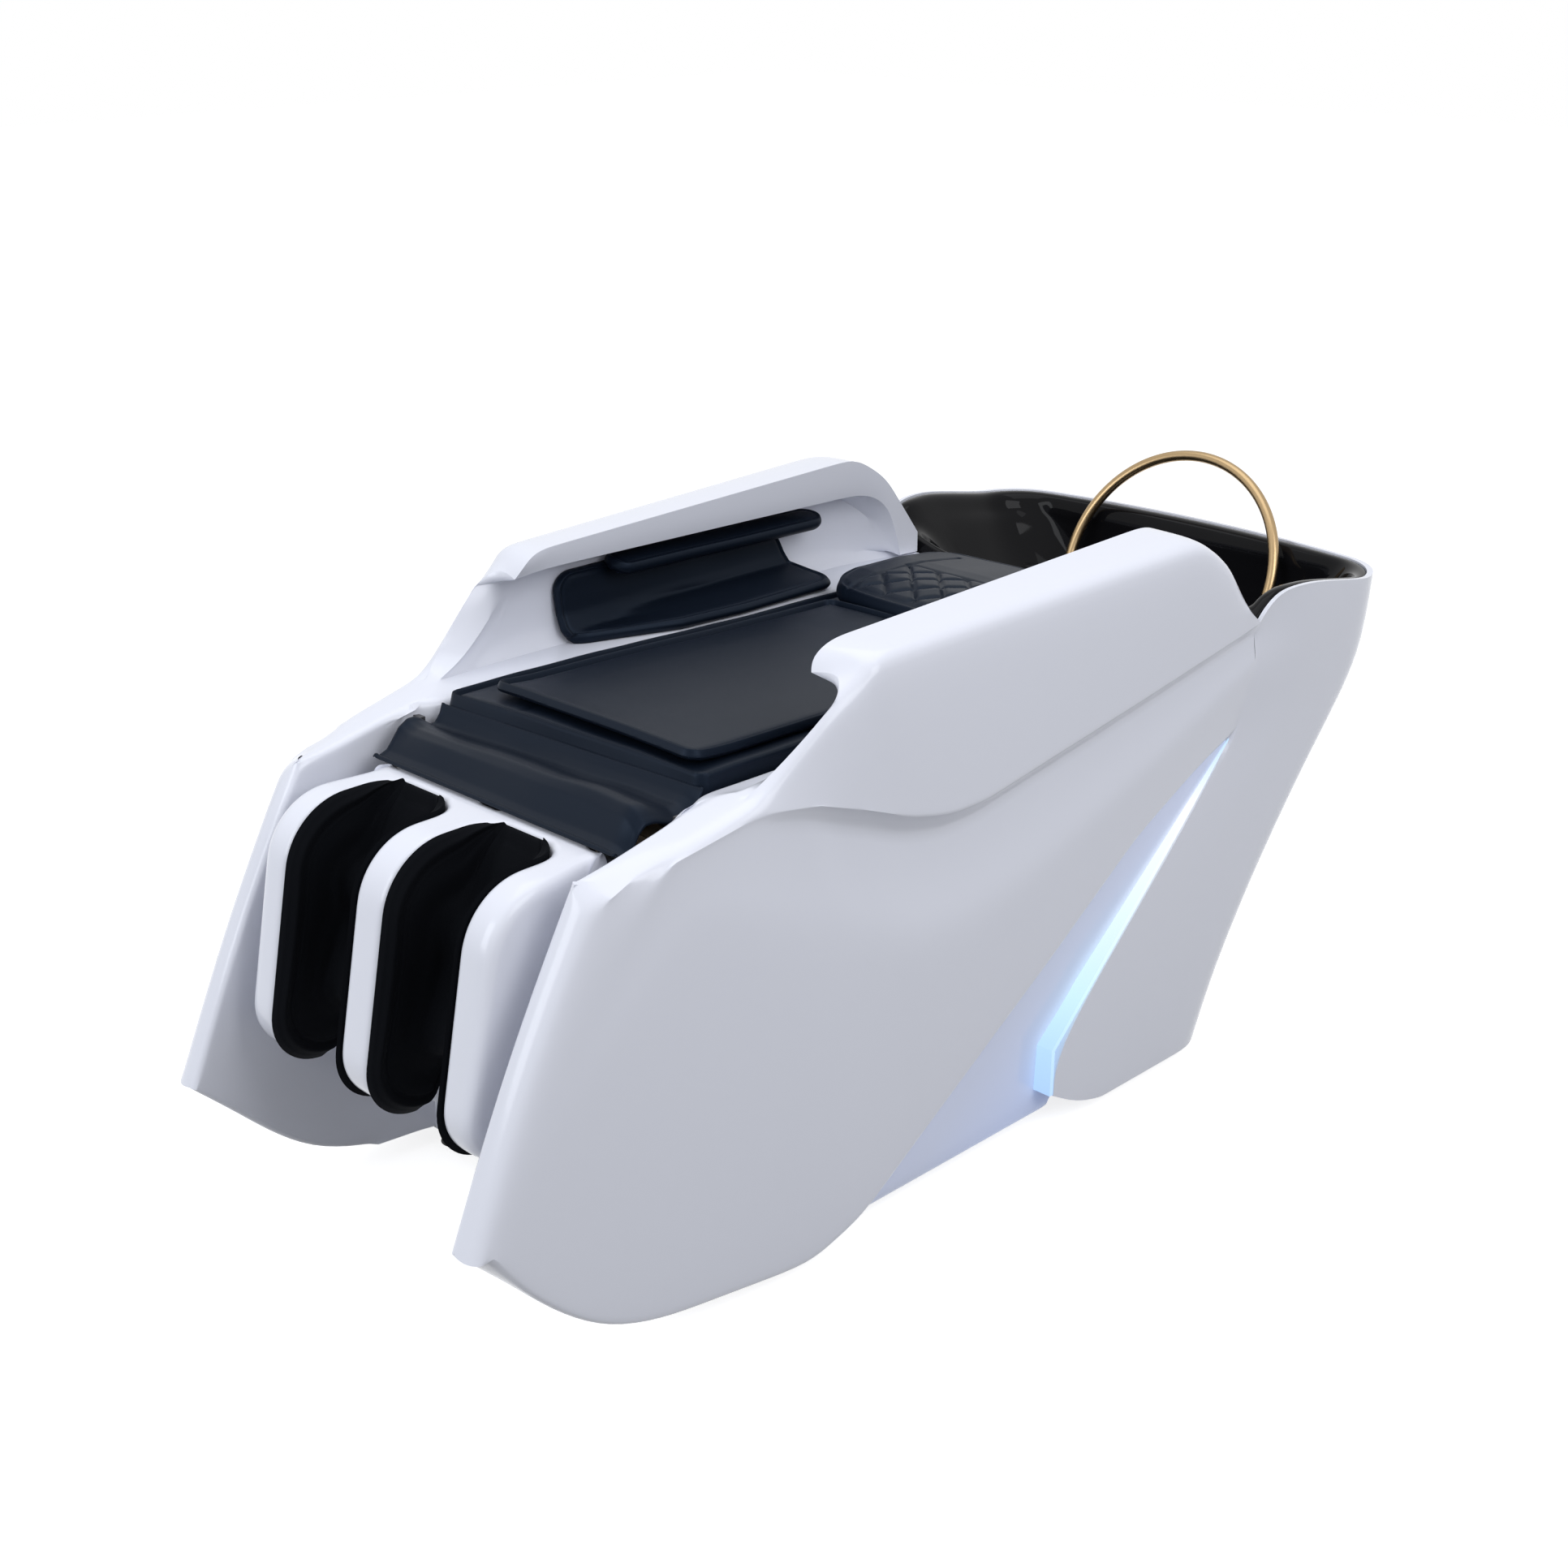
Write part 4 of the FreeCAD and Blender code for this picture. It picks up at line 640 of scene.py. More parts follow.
# Sills
# A recessed white panel under each wing, moulded in glass fibre like the shell and glued behind its edge.
# Its foot is rolled in, and the blue glow of the light strip beside it is painted on it as emission.
sill_columns = 40
sill_front = -0.340
sill_length = 0.826
sill_foot = 0.014
sill_roll = ((0.0, -0.020), (0.010, -0.0045), (0.026, 0.0))
sill_roll_share = 0.6
sill_upper_share = 0.7
sill_rolled = 0.030
strip_foot_y = 0.150
wing_edge = [(-0.345, 0.040), (-0.331, 0.050), (0.255, 0.440), (0.400, 0.505), (0.492, 0.538)]
strip_edge = [(strip_foot_y, sill_foot), (0.160, 0.170), (0.486, 0.476)]
sill_lines = [[] for line in range(5)]
for i in range(sill_columns + 1):
    y = sill_front + sill_length * i / sill_columns
    foot_z = read_off(strip_edge, y) if y > strip_foot_y else sill_foot
    head_z = read_off(wing_edge, y)
    for line, (rise, shift) in zip(sill_lines, sill_roll):
        line.append(Vector((sill_x(foot_z + rise) + shift, y,
                            foot_z + min(rise, (head_z - foot_z) * sill_roll_share))))
    upper_z = max(foot_z + (head_z - foot_z) * sill_upper_share, (foot_z + sill_rolled + head_z) / 2)
    sill_lines[3].append(Vector((sill_x(upper_z), y, min(upper_z, head_z - sill_behind))))
    sill_lines[4].append(Vector((sill_x(head_z), y, head_z)))
sills = join_skins("sills", [stretch_skin(sill_lines)])
mirrored(sills, 1, use_mirror_merge=False)
smooth(sills, 60)
# Painted glow: the sill emits the strip's blue, strongest next to the strip and fainter away from it, in
# place of the strip's light.
painted_glow_direction = (0, -0.684, 0.729)
painted_glow_coat = gel_coat.copy()
painted_glow_coat.name = "white_shell_painted_glow"
painted_glow_tree = painted_glow_coat.node_tree
painted_glow_shader = painted_glow_tree.nodes["Principled BSDF"]
set_values(painted_glow_shader, Emission_Color=(0.02, 0.26, 1.0, 1))
painted_glow_place = add_node(painted_glow_tree, "ShaderNodeTexCoord")
painted_glow_distance = add_node(painted_glow_tree, "ShaderNodeVectorMath")
painted_glow_distance.operation = "DOT_PRODUCT"
painted_glow_distance.inputs[1].default_value = painted_glow_direction
painted_glow_fade = add_node(painted_glow_tree, "ShaderNodeMapRange", From_Min=0.0145, From_Max=0.150,
                    To_Min=0.17, To_Max=0.09)
painted_glow_tree.links.new(painted_glow_place.outputs["Object"], painted_glow_distance.inputs[0])
painted_glow_tree.links.new(painted_glow_distance.outputs["Value"], painted_glow_fade.inputs["Value"])
painted_glow_tree.links.new(painted_glow_fade.outputs["Result"], painted_glow_shader.inputs["Emission Strength"])
paint(sills, painted_glow_coat)
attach(sills, "bed")
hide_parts("left_sill_panel", "right_sill_panel")

# Light strips
# A milky acrylic diffuser along the front edge of each rear plate, lit from behind by a row of small lamps:
# brightest in its upper half and bluer towards its foot.
strip_stops = [(0.0, (0.42, 0.64, 1.0, 1)), (0.16, (0.47, 0.72, 1.0, 1)), (0.30, (0.60, 0.87, 1.0, 1)),
               (0.62, (0.86, 0.97, 1.0, 1)), (0.82, (0.97, 1.0, 1.0, 1)), (1.0, (0.55, 0.78, 1.0, 1))]
diffuser = slot_finish("light_diffuser", 0.3, 0.0, 0, 0,
                       Base_Color=(0.1, 0.12, 0.14, 1), Emission_Strength=0.95)
diffuser_tree = diffuser.node_tree
strip_place = add_node(diffuser_tree, "ShaderNodeTexCoord")
strip_axes = add_node(diffuser_tree, "ShaderNodeSeparateXYZ")
strip_share = add_node(diffuser_tree, "ShaderNodeMapRange", From_Min=0.070, From_Max=0.530)
strip_ramp = add_node(diffuser_tree, "ShaderNodeValToRGB")
for i, (stop, colour) in enumerate(strip_stops):
    mark = strip_ramp.color_ramp.elements[i] if i < 2 else strip_ramp.color_ramp.elements.new(stop)
    mark.position = stop
    mark.color = colour
diffuser_tree.links.new(strip_place.outputs["Object"], strip_axes.inputs[0])
diffuser_tree.links.new(strip_axes.outputs["Z"], strip_share.inputs["Value"])
diffuser_tree.links.new(strip_share.outputs["Result"], strip_ramp.inputs["Fac"])
diffuser_tree.links.new(strip_ramp.outputs["Color"],
                        diffuser_tree.nodes["Principled BSDF"].inputs["Emission Color"])
for node in nodes_of_slot["light_diffuser"]:
    paint(node, diffuser)

# Wash basin
# A vacuum-formed bowl in gloss black, whose rolled flange lies inside the white lip of the housing. The two
# bosses that carry the arch are moulded on its inner walls.
basin_floor = 0.532
basin_front = 0.521
drain_middle = 0.720
drain_half = 0.026
boss_radius = 0.018
boss_length = 0.104
boss_edge = 0.004
boss_place = (0.2685, 0.803, 0.597)
rim_side_z = 0.735
neck_dip = 0.030
neck_half = (0.282, 0.318)
neck_rear = (0.550, 0.610)
wall_z = 0.640
wall_share = 0.55
side_steps = (0.2, 0.4, 0.6, 0.75, 0.85, 0.93)
front_steps = 6
basin_black = slot_finish("black_gloss", 0.05, 0.0, 12, 0.0002,
                          Base_Color=(0.006, 0.006, 0.007, 1), Specular_IOR_Level=0.1)
rim_half = read_off(half_widths, rim_side_z)
rim_rear = read_off(rear_profile, rim_rear_z)
basin_walls = [(0.500, 0.3865), (basin_front, 0.387), (0.655, rim_half), (1.0, rim_half)]


def basin_line(half, front, rear, rear_corner, front_corner, bow, height):
    """Half a round of the basin, from the middle of its back to the middle of its front."""
    line = back_round(half, rear, rear_corner, bow)
    turn_y = line[-1].y
    for share in side_steps:
        line.append(Vector((half, turn_y + (front + front_corner - turn_y) * share, 0)))
    for i in range(front_steps + 1):
        angle = math.radians(90) * i / front_steps
        line.append(Vector((half - front_corner * (1 - math.cos(angle)),
                            front + front_corner * (1 - math.sin(angle)), 0)))
    edge_x = line[-1].x
    for share in (0.25, 0.5, 0.75, 1.0):
        line.append(Vector((edge_x * (1 - share), front, 0)))
    for point in line:
        point.x = min(point.x, read_off(basin_walls, point.y) - rim_half + half)
        point.z = height(point)
    return line


def level(z):
    """The same height for every point of a round."""
    return lambda point: z


def rim_less(drop):
    """Height of the rim less a drop; the rim dips between the arms, where the neck lies."""
    def height(point):
        across = within((neck_half[1] - abs(point.x)) / (neck_half[1] - neck_half[0]))
        along = within((neck_rear[1] - point.y) / (neck_rear[1] - neck_rear[0]))
        return rim_height(point.y) - drop - neck_dip * across ** 2 * (3 - 2 * across) * along
    return height


def upper_wall(point):
    """Height of the round below the flange, part of the way from the wall up to the rim."""
    return wall_share * rim_less(0)(point) + (1 - wall_share) * wall_z


# A round of the flange has an inset, a step from the front, two corners, a bow and a drop below the rim, and
# one of the bowl has its half width, front, rear, two corners, bow and height.
basin_lines = []
for inset, step, rear_corner, front_corner, bow, drop in (
        (0.008, 0, 0.105, 0.016, housing_bow, 0.024), (0.008, 0, 0.105, 0.016, housing_bow, 0.004),
        (0.014, 0.003, 0.101, 0.020, housing_bow, 0.0005), (0.026, 0.010, 0.096, 0.028, 0.024, 0.001),
        (0.036, 0.018, 0.094, 0.036, 0.020, 0.010), (0.043, 0.024, 0.094, 0.046, 0.016, 0.030)):
    basin_lines.append(basin_line(rim_half - inset, basin_front + step, rim_rear - inset,
                                  rear_corner, front_corner, bow, rim_less(drop)))
basin_lines += [
    basin_line(0.345, 0.553, 0.884, 0.100, 0.070, 0.012, upper_wall),
    basin_line(0.328, 0.560, 0.880, 0.104, 0.090, 0.010, level(0.655)),
    basin_line(0.290, 0.578, 0.868, 0.106, 0.100, 0.008, level(0.604)),
    basin_line(0.240, 0.604, 0.850, 0.100, 0.098, 0.006, level(0.562)),
    basin_line(0.175, 0.640, 0.820, 0.086, 0.085, 0.004, level(0.540)),
    basin_line(0.100, 0.680, 0.780, 0.048, 0.048, 0.002, level(0.534)),
    basin_line(drain_half, drain_middle - drain_half, drain_middle + drain_half, 0.025, 0.025, 0.0,
               level(basin_floor)),
]
basin_skin = join_skins("wash_basin_gloss", [stretch_skin(basin_lines)])
mirrored(basin_skin, 2, merge_threshold=0.001)
bosses = []
for side_of in (-1, 1):
    bpy.ops.object.select_all(action="DESELECT")
    bpy.ops.mesh.primitive_cylinder_add(
        vertices=48, radius=boss_radius, depth=boss_length, rotation=(0, math.pi / 2, 0),
        location=(side_of * boss_place[0], *boss_place[1:]))
    boss = bpy.context.object
    bpy.ops.object.transform_apply(location=True, rotation=True, scale=True)
    finish_with(boss, "BEVEL", width=boss_edge, segments=3, limit_method="ANGLE",
                angle_limit=math.radians(40))
    bosses.append(boss)
basin = join_skins("wash_basin_gloss", [basin_skin, *bosses], 0.00001)
smooth(basin, 50)
paint(basin, basin_black)
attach(basin, "bed")
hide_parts("wash_basin")

# Water arch
# A bent brass tube in satin champagne gold with a row of spray holes, on two ring fittings that turn on stub
# pivots. It keeps its drawn shape and takes a fine brushed finish.
gold = slot_finish("champagne_gold", 0.30, 1.0, 900, 0.00002, Base_Color=(0.42, 0.30, 0.165, 1))
for node in nodes_of_slot["champagne_gold"]:
    paint(node, gold)
    smooth(node, 40)

# Mattress
# A foam block in a sewn leatherette cover. A welt of piping runs round its top edge, and one seam of the
# cover crosses the front border. It lies loose on the plywood pan.
bed_front = -0.514
bed_half = 0.245
bed_length = 1.014
bed_low = 0.6185
bed_heights = [(bed_front, 0.703), (-0.400, 0.702), (-0.250, 0.698), (0.060, 0.685), (0.300, 0.680),
               (0.500, 0.680)]
bed_crown = 0.0045
bed_edge_roll = 0.006
bed_top_roll = 0.013
bed_edge_drop = 0.0035
border_middle = 0.665
border_half = 0.022
border_out = 0.006
bed_seam_x = -0.118
bed_seam_slant = 0.25
bed_seam_run = 0.12
bed_skew = 0.0155
skew_run = 0.15
pipe_in = 0.0050
pipe_half = 0.0025
seam_in = 0.0115
seam_half = 0.0028
edge_lines = (0, 0.0007, 0.002, 0.0035, 0.005, 0.0063, 0.0076, 0.009, 0.0105, 0.0125, 0.015, 0.019, 0.026)
leatherette = slot_finish("black_leatherette", 0.44, 0.0, 1400, 0.00006, Specular_IOR_Level=0.17,
                          Base_Color=(0.0042, 0.0070, 0.0135, 1), Specular_Tint=(0.55, 0.72, 1.0, 1))


def line_places(length, step, near):
    """Places of the grid lines across a cushion: close together along its edges, a step apart between."""
    inner = near[-1]
    count = max(2, round((length - 2 * inner) / step))
    places = list(near)
    places += [inner + (length - 2 * inner) * i / count for i in range(1, count)]
    return places + [length - gap for gap in reversed(near)]


def round_plan(x, y, half_x, half_y, corner):
    """A place of a rectangle moved onto one with round corners, and its distance from the edge."""
    over_x = abs(x) - half_x + corner
    over_y = abs(y) - half_y + corner
    if over_x <= 0 or over_y <= 0:
        return x, y, min(half_x - abs(x), half_y - abs(y))
    a = over_x / corner
    b = over_y / corner
    turned_x = a * math.sqrt(1 - b * b / 2)
    turned_y = b * math.sqrt(1 - a * a / 2)
    inside = max(0.0, corner * (1 - math.hypot(turned_x, turned_y)))
    return (math.copysign(half_x - corner + turned_x * corner, x),
            math.copysign(half_y - corner + turned_y * corner, y), inside)


def soft_slab(name, half, length, corner, step, near, surface):
    """Closed cushion of a top and a foot skin that meet round the edge; surface gives each point."""
    skins = []
    for face in (1, -1):
        lines = []
        for along in line_places(length, step, near):
            line = []
            for across in line_places(2 * half, step, near):
                x, y, inside = round_plan(across - half, along - length / 2, half, length / 2, corner)
                line.append(Vector(surface(x, y + length / 2, inside, face)))
            lines.append(line)
        skins.append(stretch_skin(lines))
    piece = join_skins(name, skins, 0.00004)
    bpy.ops.object.shade_smooth()
    return piece


def roll(inside, radius):
    """Share of a cushion's full thickness at a distance from its edge."""
    return math.sqrt(max(0.0, 1 - (1 - min(inside / radius, 1)) ** 2))


def ridge(at, middle, width):
    """Rounded ridge of height one."""
    return math.exp(-((at - middle) / width) ** 2)


def bed_shift(x, y):
    """Turn of the cover's front edge, whose right end lies further towards the feet."""
    return bed_skew * x / bed_half * max(0.0, 1 - y / skew_run)


def ripple(x, y, across, along, layer):
    """Uneven lie of cloth, between minus one and one, with its rates across and along."""
    return noise.noise(Vector((x * across, y * along, layer)))


def piping(inside, height, sunk):
    """Welt of piping along a cushion's edge, and the sunk seam behind it."""
    return height * ridge(inside, pipe_in, pipe_half) - sunk * ridge(inside, seam_in, seam_half)


def mattress_point(x, y, inside, face):
    """The cover is crowned and piped, and its front border bulges and puckers."""
    row_y = bed_front + y + bed_shift(x, y)
    top = read_off(bed_heights, row_y)
    middle = (bed_low + top) / 2
    swell = (top - bed_low) / 2 * roll(inside, bed_edge_roll)
    z = middle + face * swell
    if face > 0:
        full = roll(inside, bed_top_roll)
        z -= bed_edge_drop * (1 - full)
        z += bed_crown * full * (1 - (x / bed_half) ** 2)
        z += piping(inside, height=0.0060, sunk=0.0070)
        near_front = max(0.0, 1 - y / bed_seam_run)
        z -= 0.0030 * near_front * ridge(x, bed_seam_x + bed_seam_slant * y, 0.0035)
        z += 0.0016 * full * ripple(x, row_y, 9, 9, 3.0)
    pucker = 0.0035 * ripple(x, row_y, 14, 6, z * 30) * min(1.0, inside / 0.02 + 0.4)
    bulge = border_out * ridge(z, border_middle, border_half) * max(0.0, 1 - inside / 0.012)
    return x, row_y + pucker * max(0.0, 1 - y / 0.05) - bulge * max(0.0, 1 - y / 0.03), z


mattress = soft_slab("mattress_cover", bed_half, bed_length, 0.020, 0.010, edge_lines, mattress_point)
paint(mattress, leatherette)
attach(mattress, "bed")
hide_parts("seat_mattress")

# Back mat
# A thin foam topper in the same cover, with a piped edge that stands off the mattress at its front. It is
# laid on the mattress and held by its own weight.
mat_front = -0.486
mat_half = 0.202
mat_middle = 0.010
mat_length = 0.676
mat_thick = 0.010
mat_lift = 0.007
lift_run = 0.09
mat_crown = 0.0050
mat_clear = 0.002
mat_swell = 0.003


def mat_point(x, y, inside, face):
    """The mat follows the mattress's crown, and its front lifts off."""
    row_y = mat_front + y
    rest = read_off(bed_heights, row_y) + mat_crown * (1 - (x / bed_half) ** 2) + mat_clear
    rest += mat_lift * max(0.0, 1 - y / lift_run) ** 2
    middle = rest + mat_thick / 2
    z = middle + face * mat_thick / 2 * roll(inside, 0.0050)
    if face > 0:
        z += piping(inside, height=0.0050, sunk=0.0080)
        z += mat_swell * min(1.0, inside / 0.08)
        z += 0.0011 * ripple(x, row_y, 11, 8, 1.0)
    wave = 0.0022 * ripple(x, row_y, 8, 8, 7.0)
    return mat_middle + x + wave, row_y + wave, z


back_mat = soft_slab("back_mat_cover", mat_half, mat_length, 0.022, 0.009, edge_lines, mat_point)
paint(back_mat, leatherette)
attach(back_mat, "bed")
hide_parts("back_mat")

# Head pillow
# A low wedge of foam with a plain border, a field of diamond quilting in front and a plain head panel behind
# it, all sewn in leatherette with a piped front edge. It lies on the mattress before the basin.
pillow_front = 0.182
pillow_half = 0.228
pillow_length = 0.322
pillow_rise = 0.043
pillow_wedge = [(0.0, 0.72), (0.25, 1.0), (0.6, 0.98), (1.0, 0.62)]
pillow_bow = 0.036
pillow_below = 0.40
pillow_clear = 0.004
pillow_roll = 0.024
pillow_foot_roll = 0.010
quilt_pitch = 0.043
quilt_puff = 0.0045
quilt_puff_roll = 0.014
quilt_sunk = 0.0020
stitch_deep = 0.0030
stitch_half = 0.0022
panel_seam_deep = 0.0042
panel_seam_half = 0.0032
quilt_half = 0.168
quilt_narrows = 0.02
quilt_rear = 0.158
quilt_border = 0.020
quilt_edge = 0.006


def pillow_point(x, y, inside, face):
    """A wedge with rolled edges, quilted within its border and sunk along the seams."""
    share = y / pillow_length
    bow = pillow_bow * (x / pillow_half) ** 2 * (1 - share)
    row_y = pillow_front + y * (1 - bow / pillow_length) + bow
    rest = read_off(bed_heights, row_y) + bed_crown * (1 - (x / bed_half) ** 2)
    rise = pillow_rise * read_off(pillow_wedge, share)
    full = roll(inside, pillow_roll)
    middle = rest + pillow_clear + rise * pillow_below
    if face < 0:
        return x, row_y, middle - rise * pillow_below * roll(inside, pillow_foot_roll)
    z = middle + rise * (1 - pillow_below) * full
    z += 0.0030 * ridge(inside, 0.0076, 0.0026) - 0.0022 * ridge(inside, 0.0150, 0.0030)
    side_gap = quilt_half - quilt_narrows * share - abs(x)
    rear_gap = quilt_rear - y
    front_gap = inside - quilt_border
    field = within(min(side_gap, rear_gap, front_gap) / quilt_edge)
    across = (x + row_y) / math.sqrt(2) / quilt_pitch
    along = (x - row_y) / math.sqrt(2) / quilt_pitch
    stitch = quilt_pitch * min(abs(across - round(across)), abs(along - round(along)))
    puff = quilt_puff * roll(stitch, quilt_puff_roll) - quilt_sunk
    z += field * (puff - stitch_deep * ridge(stitch, 0, stitch_half))
    seam = min(abs(side_gap), 0.02) if rear_gap > -0.12 else 0.02
    if abs(x) < quilt_half:
        seam = min(seam, abs(rear_gap))
    z -= panel_seam_deep * ridge(seam, 0.0, panel_seam_half) * full
    z += 0.0016 * ripple(x, row_y, 12, 12, 5.0) * full
    return x, row_y, z


pillow = soft_slab("head_pillow_cover", pillow_half, pillow_length, 0.060, 0.0042, edge_lines, pillow_point)
paint(pillow, leatherette)
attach(pillow, "bed")
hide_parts("head_pillow")

# Arm pads
# Two air-cell pads line each arm trough: the upper one hangs under the roof, and the lower one follows the
# wall down and spreads over the deck. Both are leatherette with a double-stitched bound edge, held by tape.
pad_step = 0.008
path_steps = 32
upper_front = -0.150
upper_half = 0.029
upper_length = 0.448
upper_thick = 0.0095
upper_droop = 0.012 / 0.520
lower_front = -0.240
lower_half = 0.075
lower_length = 0.520
lower_thick = 0.0075
lower_taper = 0.12
binding_high = 0.0016
binding_in = 0.005
binding_half = 0.0022
stitches_in = 0.0105
upper_path = [(0.351, 0.801), (0.332, 0.799), (0.314, 0.796), (0.297, 0.790)]
lower_edge_x = [(lower_front, 0.317), (-0.190, 0.302), (-0.060, 0.258), (0.060, 0.246), (0.290, 0.246)]


def path_point(path, share):
    """Point of a broken line at a share of its length, with the line's right-hand normal there."""
    points = evenly(path, path_steps + 1)
    at = min(share * path_steps, path_steps - 0.001)
    i = int(at)
    here, there = points[i], points[i + 1]
    run = (there - here).normalized()
    return here.lerp(there, at - i), Vector((run.y, -run.x))


def pad_section(y):
    """Middle line of the lower pad's section: down the wall, round the corner and over the deck."""
    edge = read_off(lower_edge_x, y)
    corner = min(0.328, edge + 0.045)
    return [(0.350, 0.796), (0.347, 0.765), (0.342, 0.732), (0.334, 0.714), (corner, 0.703),
            (edge + 0.012, 0.6975), (edge, 0.6965)]


def bound_edge(inside, sunk):
    """Bound edge of a pad, and the double row of stitches behind it."""
    binding = binding_high * ridge(inside, binding_in, binding_half)
    return binding - sunk * ridge(inside, stitches_in, binding_half)


def pad_pieces(side_of):
    """The two pads of one arm."""
    def upper_point(x, y, inside, face):
        row_y = upper_front + y
        place, normal = path_point(upper_path, x / (2 * upper_half) + 0.5)
        thick = upper_thick * roll(inside, 0.010) + bound_edge(inside, sunk=0.0016)
        place = place + normal * face * thick
        return side_of * place.x, row_y, place.y - upper_droop * y + 0.002 * ripple(x, row_y, 20, 7, 2.0)

    def lower_point(x, y, inside, face):
        share = x / (2 * lower_half) + 0.5
        row_y = lower_front + y * (1 - lower_taper * (1 - share))
        place, normal = path_point(pad_section(row_y), share)
        thick = lower_thick * roll(inside, 0.009) + bound_edge(inside, sunk=0.0018)
        thick += 0.002 * ripple(x, row_y, 16, 7, 4.0) * roll(inside, 0.03)
        place = place + normal * face * thick
        return side_of * place.x, row_y, place.y

    word = "left" if side_of > 0 else "right"
    for level_word, half, length, corner, point in (
            ("upper", upper_half, upper_length, 0.028, upper_point),
            ("lower", lower_half, lower_length, 0.040, lower_point)):
        pad = soft_slab(f"{word}_{level_word}_pad_cover", half, length, corner, pad_step, edge_lines, point)
        paint(pad, leatherette)
        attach(pad, "bed")
        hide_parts(f"{word}_{level_word}_arm_pad")


pad_pieces(1)
pad_pieces(-1)

# Calf rest shell
# A gel-coated moulding on the calf unit: three upright walls with a wide round shoulder, joined at the knee
# end by a cross band, and a back sheet behind the two wells. It is screwed to the calf frame.
calf_half = 0.236
well_middle = 0.105
well_half = 0.075
well_rear = 0.028
well_corner = 0.045
calf_round = 0.009
outer_round = 0.016
calf_row = 0.012
calf_profile = [(-0.640, 0.640, 0), (-0.826, 0.640, 0.100), (-0.897, 0.284, 0.070), (-0.662, 0.284, 0.020),
                (-0.640, 0.316, 0.010), (-0.640, 0.640, 0)]
calf_middle = Vector((-0.745, 0.460))
calf_hinge = Vector((-0.624, 0.622))
hinge_near = 0.055
hinge_far = 0.120
hinge_taper = 0.26
taper_from = 0.190
back_half = 0.190
back_rows = 24
back_columns = 8
band_steps = 4
arc_steps = 20
well_columns = (0, 0.002, 0.009, 0.022, 0.040, 0.060, 0.075, 0.090, 0.110, 0.128, 0.141, 0.148, 0.150)


def rounded_path(corners):
    """Broken line whose corners (y, z, radius) are turned to arcs."""
    path = [Vector(corners[0][:2])]
    for before, here, after in zip(corners, corners[1:], corners[2:]):
        corner = Vector(here[:2])
        back = (Vector(before[:2]) - corner).normalized()
        ahead = (Vector(after[:2]) - corner).normalized()
        half_turn = back.angle(ahead) / 2
        reach = here[2] / math.tan(half_turn)
        centre = corner + (back + ahead).normalized() * here[2] / math.sin(half_turn)
        first = corner + back * reach - centre
        last = corner + ahead * reach - centre
        for i in range(arc_steps + 1):
            path.append(centre + first.slerp(last, i / arc_steps).normalized() * here[2])
    path.append(Vector(corners[-1][:2]))
    return path


def run_of(path):
    """Total length of a path, and a function that gives the place and inward normal at a length along it."""
    lengths = lengths_along(path)

    def place(along):
        along = max(0.0, min(along, lengths[-1] - 1e-6))
        for i in range(len(path) - 1):
            if along <= lengths[i + 1] and lengths[i + 1] > lengths[i]:
                break
        run = (path[i + 1] - path[i]).normalized()
        share = (along - lengths[i]) / (lengths[i + 1] - lengths[i])
        return path[i].lerp(path[i + 1], share), Vector((-run.y, run.x))
    return lengths[-1], place


calf_run, calf_place = run_of(rounded_path(calf_profile))


def calf_point(x, along, depth=0.0, inward=0.0):
    """Point of the calf shell: a depth below its face, or a share of the way to the middle of the wall."""
    spot, normal = calf_place(along)
    spot = (spot + normal * depth).lerp(calf_middle, inward)
    near_hinge = within((hinge_far - (spot - calf_hinge).length) / (hinge_far - hinge_near))
    x -= max(0.0, x - taper_from) * hinge_taper * near_hinge
    return Vector((x, spot.x, spot.y))


def well_end(x, spread):
    """Length along the face at which the well begins, for a well that is wider by a spread."""
    corner = well_corner + spread
    gap = max(0.0, corner - (well_half + spread - abs(x - well_middle)))
    return well_rear - spread + corner - math.sqrt(max(0.0, corner ** 2 - gap ** 2))


def well_border(spread, depth, inward=0.0):
    """Line round a well: up the middle wall, round the knee end and down the outer wall."""
    low = well_middle - well_half - spread
    line = [calf_point(low, along, depth, inward) for along in wall_rows[:0:-1]]
    for column in well_columns:
        x = low + column / well_half * (well_half + spread)
        line.append(calf_point(x, well_end(x, spread), depth, inward))
    return line + [calf_point(2 * well_middle - low, along, depth, inward) for along in wall_rows[1:]]


band_end = well_rear + well_corner
band_rows = [band_end * i / band_steps for i in range(band_steps + 1)]
row_count = round((calf_run - band_end) / calf_row)
wall_rows = [band_end + (calf_run - band_end) * i / row_count for i in range(row_count + 1)]
all_rows = band_rows + wall_rows[1:]
wall_low = well_middle - well_half - calf_round
wall_high = well_middle + well_half + calf_round
outer_flat = calf_half - outer_round
calf_skins = []
for columns in ((0.0, wall_low / 2, wall_low), (wall_high, (wall_high + outer_flat) / 2, outer_flat)):
    calf_skins.append(stretch_skin([[calf_point(x, along) for x in columns] for along in all_rows]))
band_columns = [wall_low + column / (2 * well_half) * (wall_high - wall_low) for column in well_columns]
calf_skins.append(stretch_skin(
    [[calf_point(x, well_end(x, calf_round) * i / band_steps) for x in band_columns]
     for i in range(band_steps + 1)]))
calf_skins.append(stretch_skin([
    well_border(calf_round, 0), well_border(calf_round * 0.3, calf_round * 0.3), well_border(0, calf_round),
    well_border(0, calf_round * 1.6), well_border(0, calf_round, 0.5)]))
outer_edge = [(outer_flat, 0, 0), (calf_half - outer_round * 0.3, outer_round * 0.3, 0),
              (calf_half, outer_round, 0), (calf_half, outer_round * 1.5, 0), (calf_half, 0.03, 0.5),
              (calf_half, 0, 1)]
calf_skins.append(stretch_skin([[calf_point(x, along, depth, inward) for along in all_rows]
                                for x, depth, inward in outer_edge]))
back_path = rounded_path([(-0.641, 0.620, 0), (-0.694, 0.572, 0.090), (-0.768, 0.262, 0)])
back_run, back_place = run_of(back_path)
back_lines = []
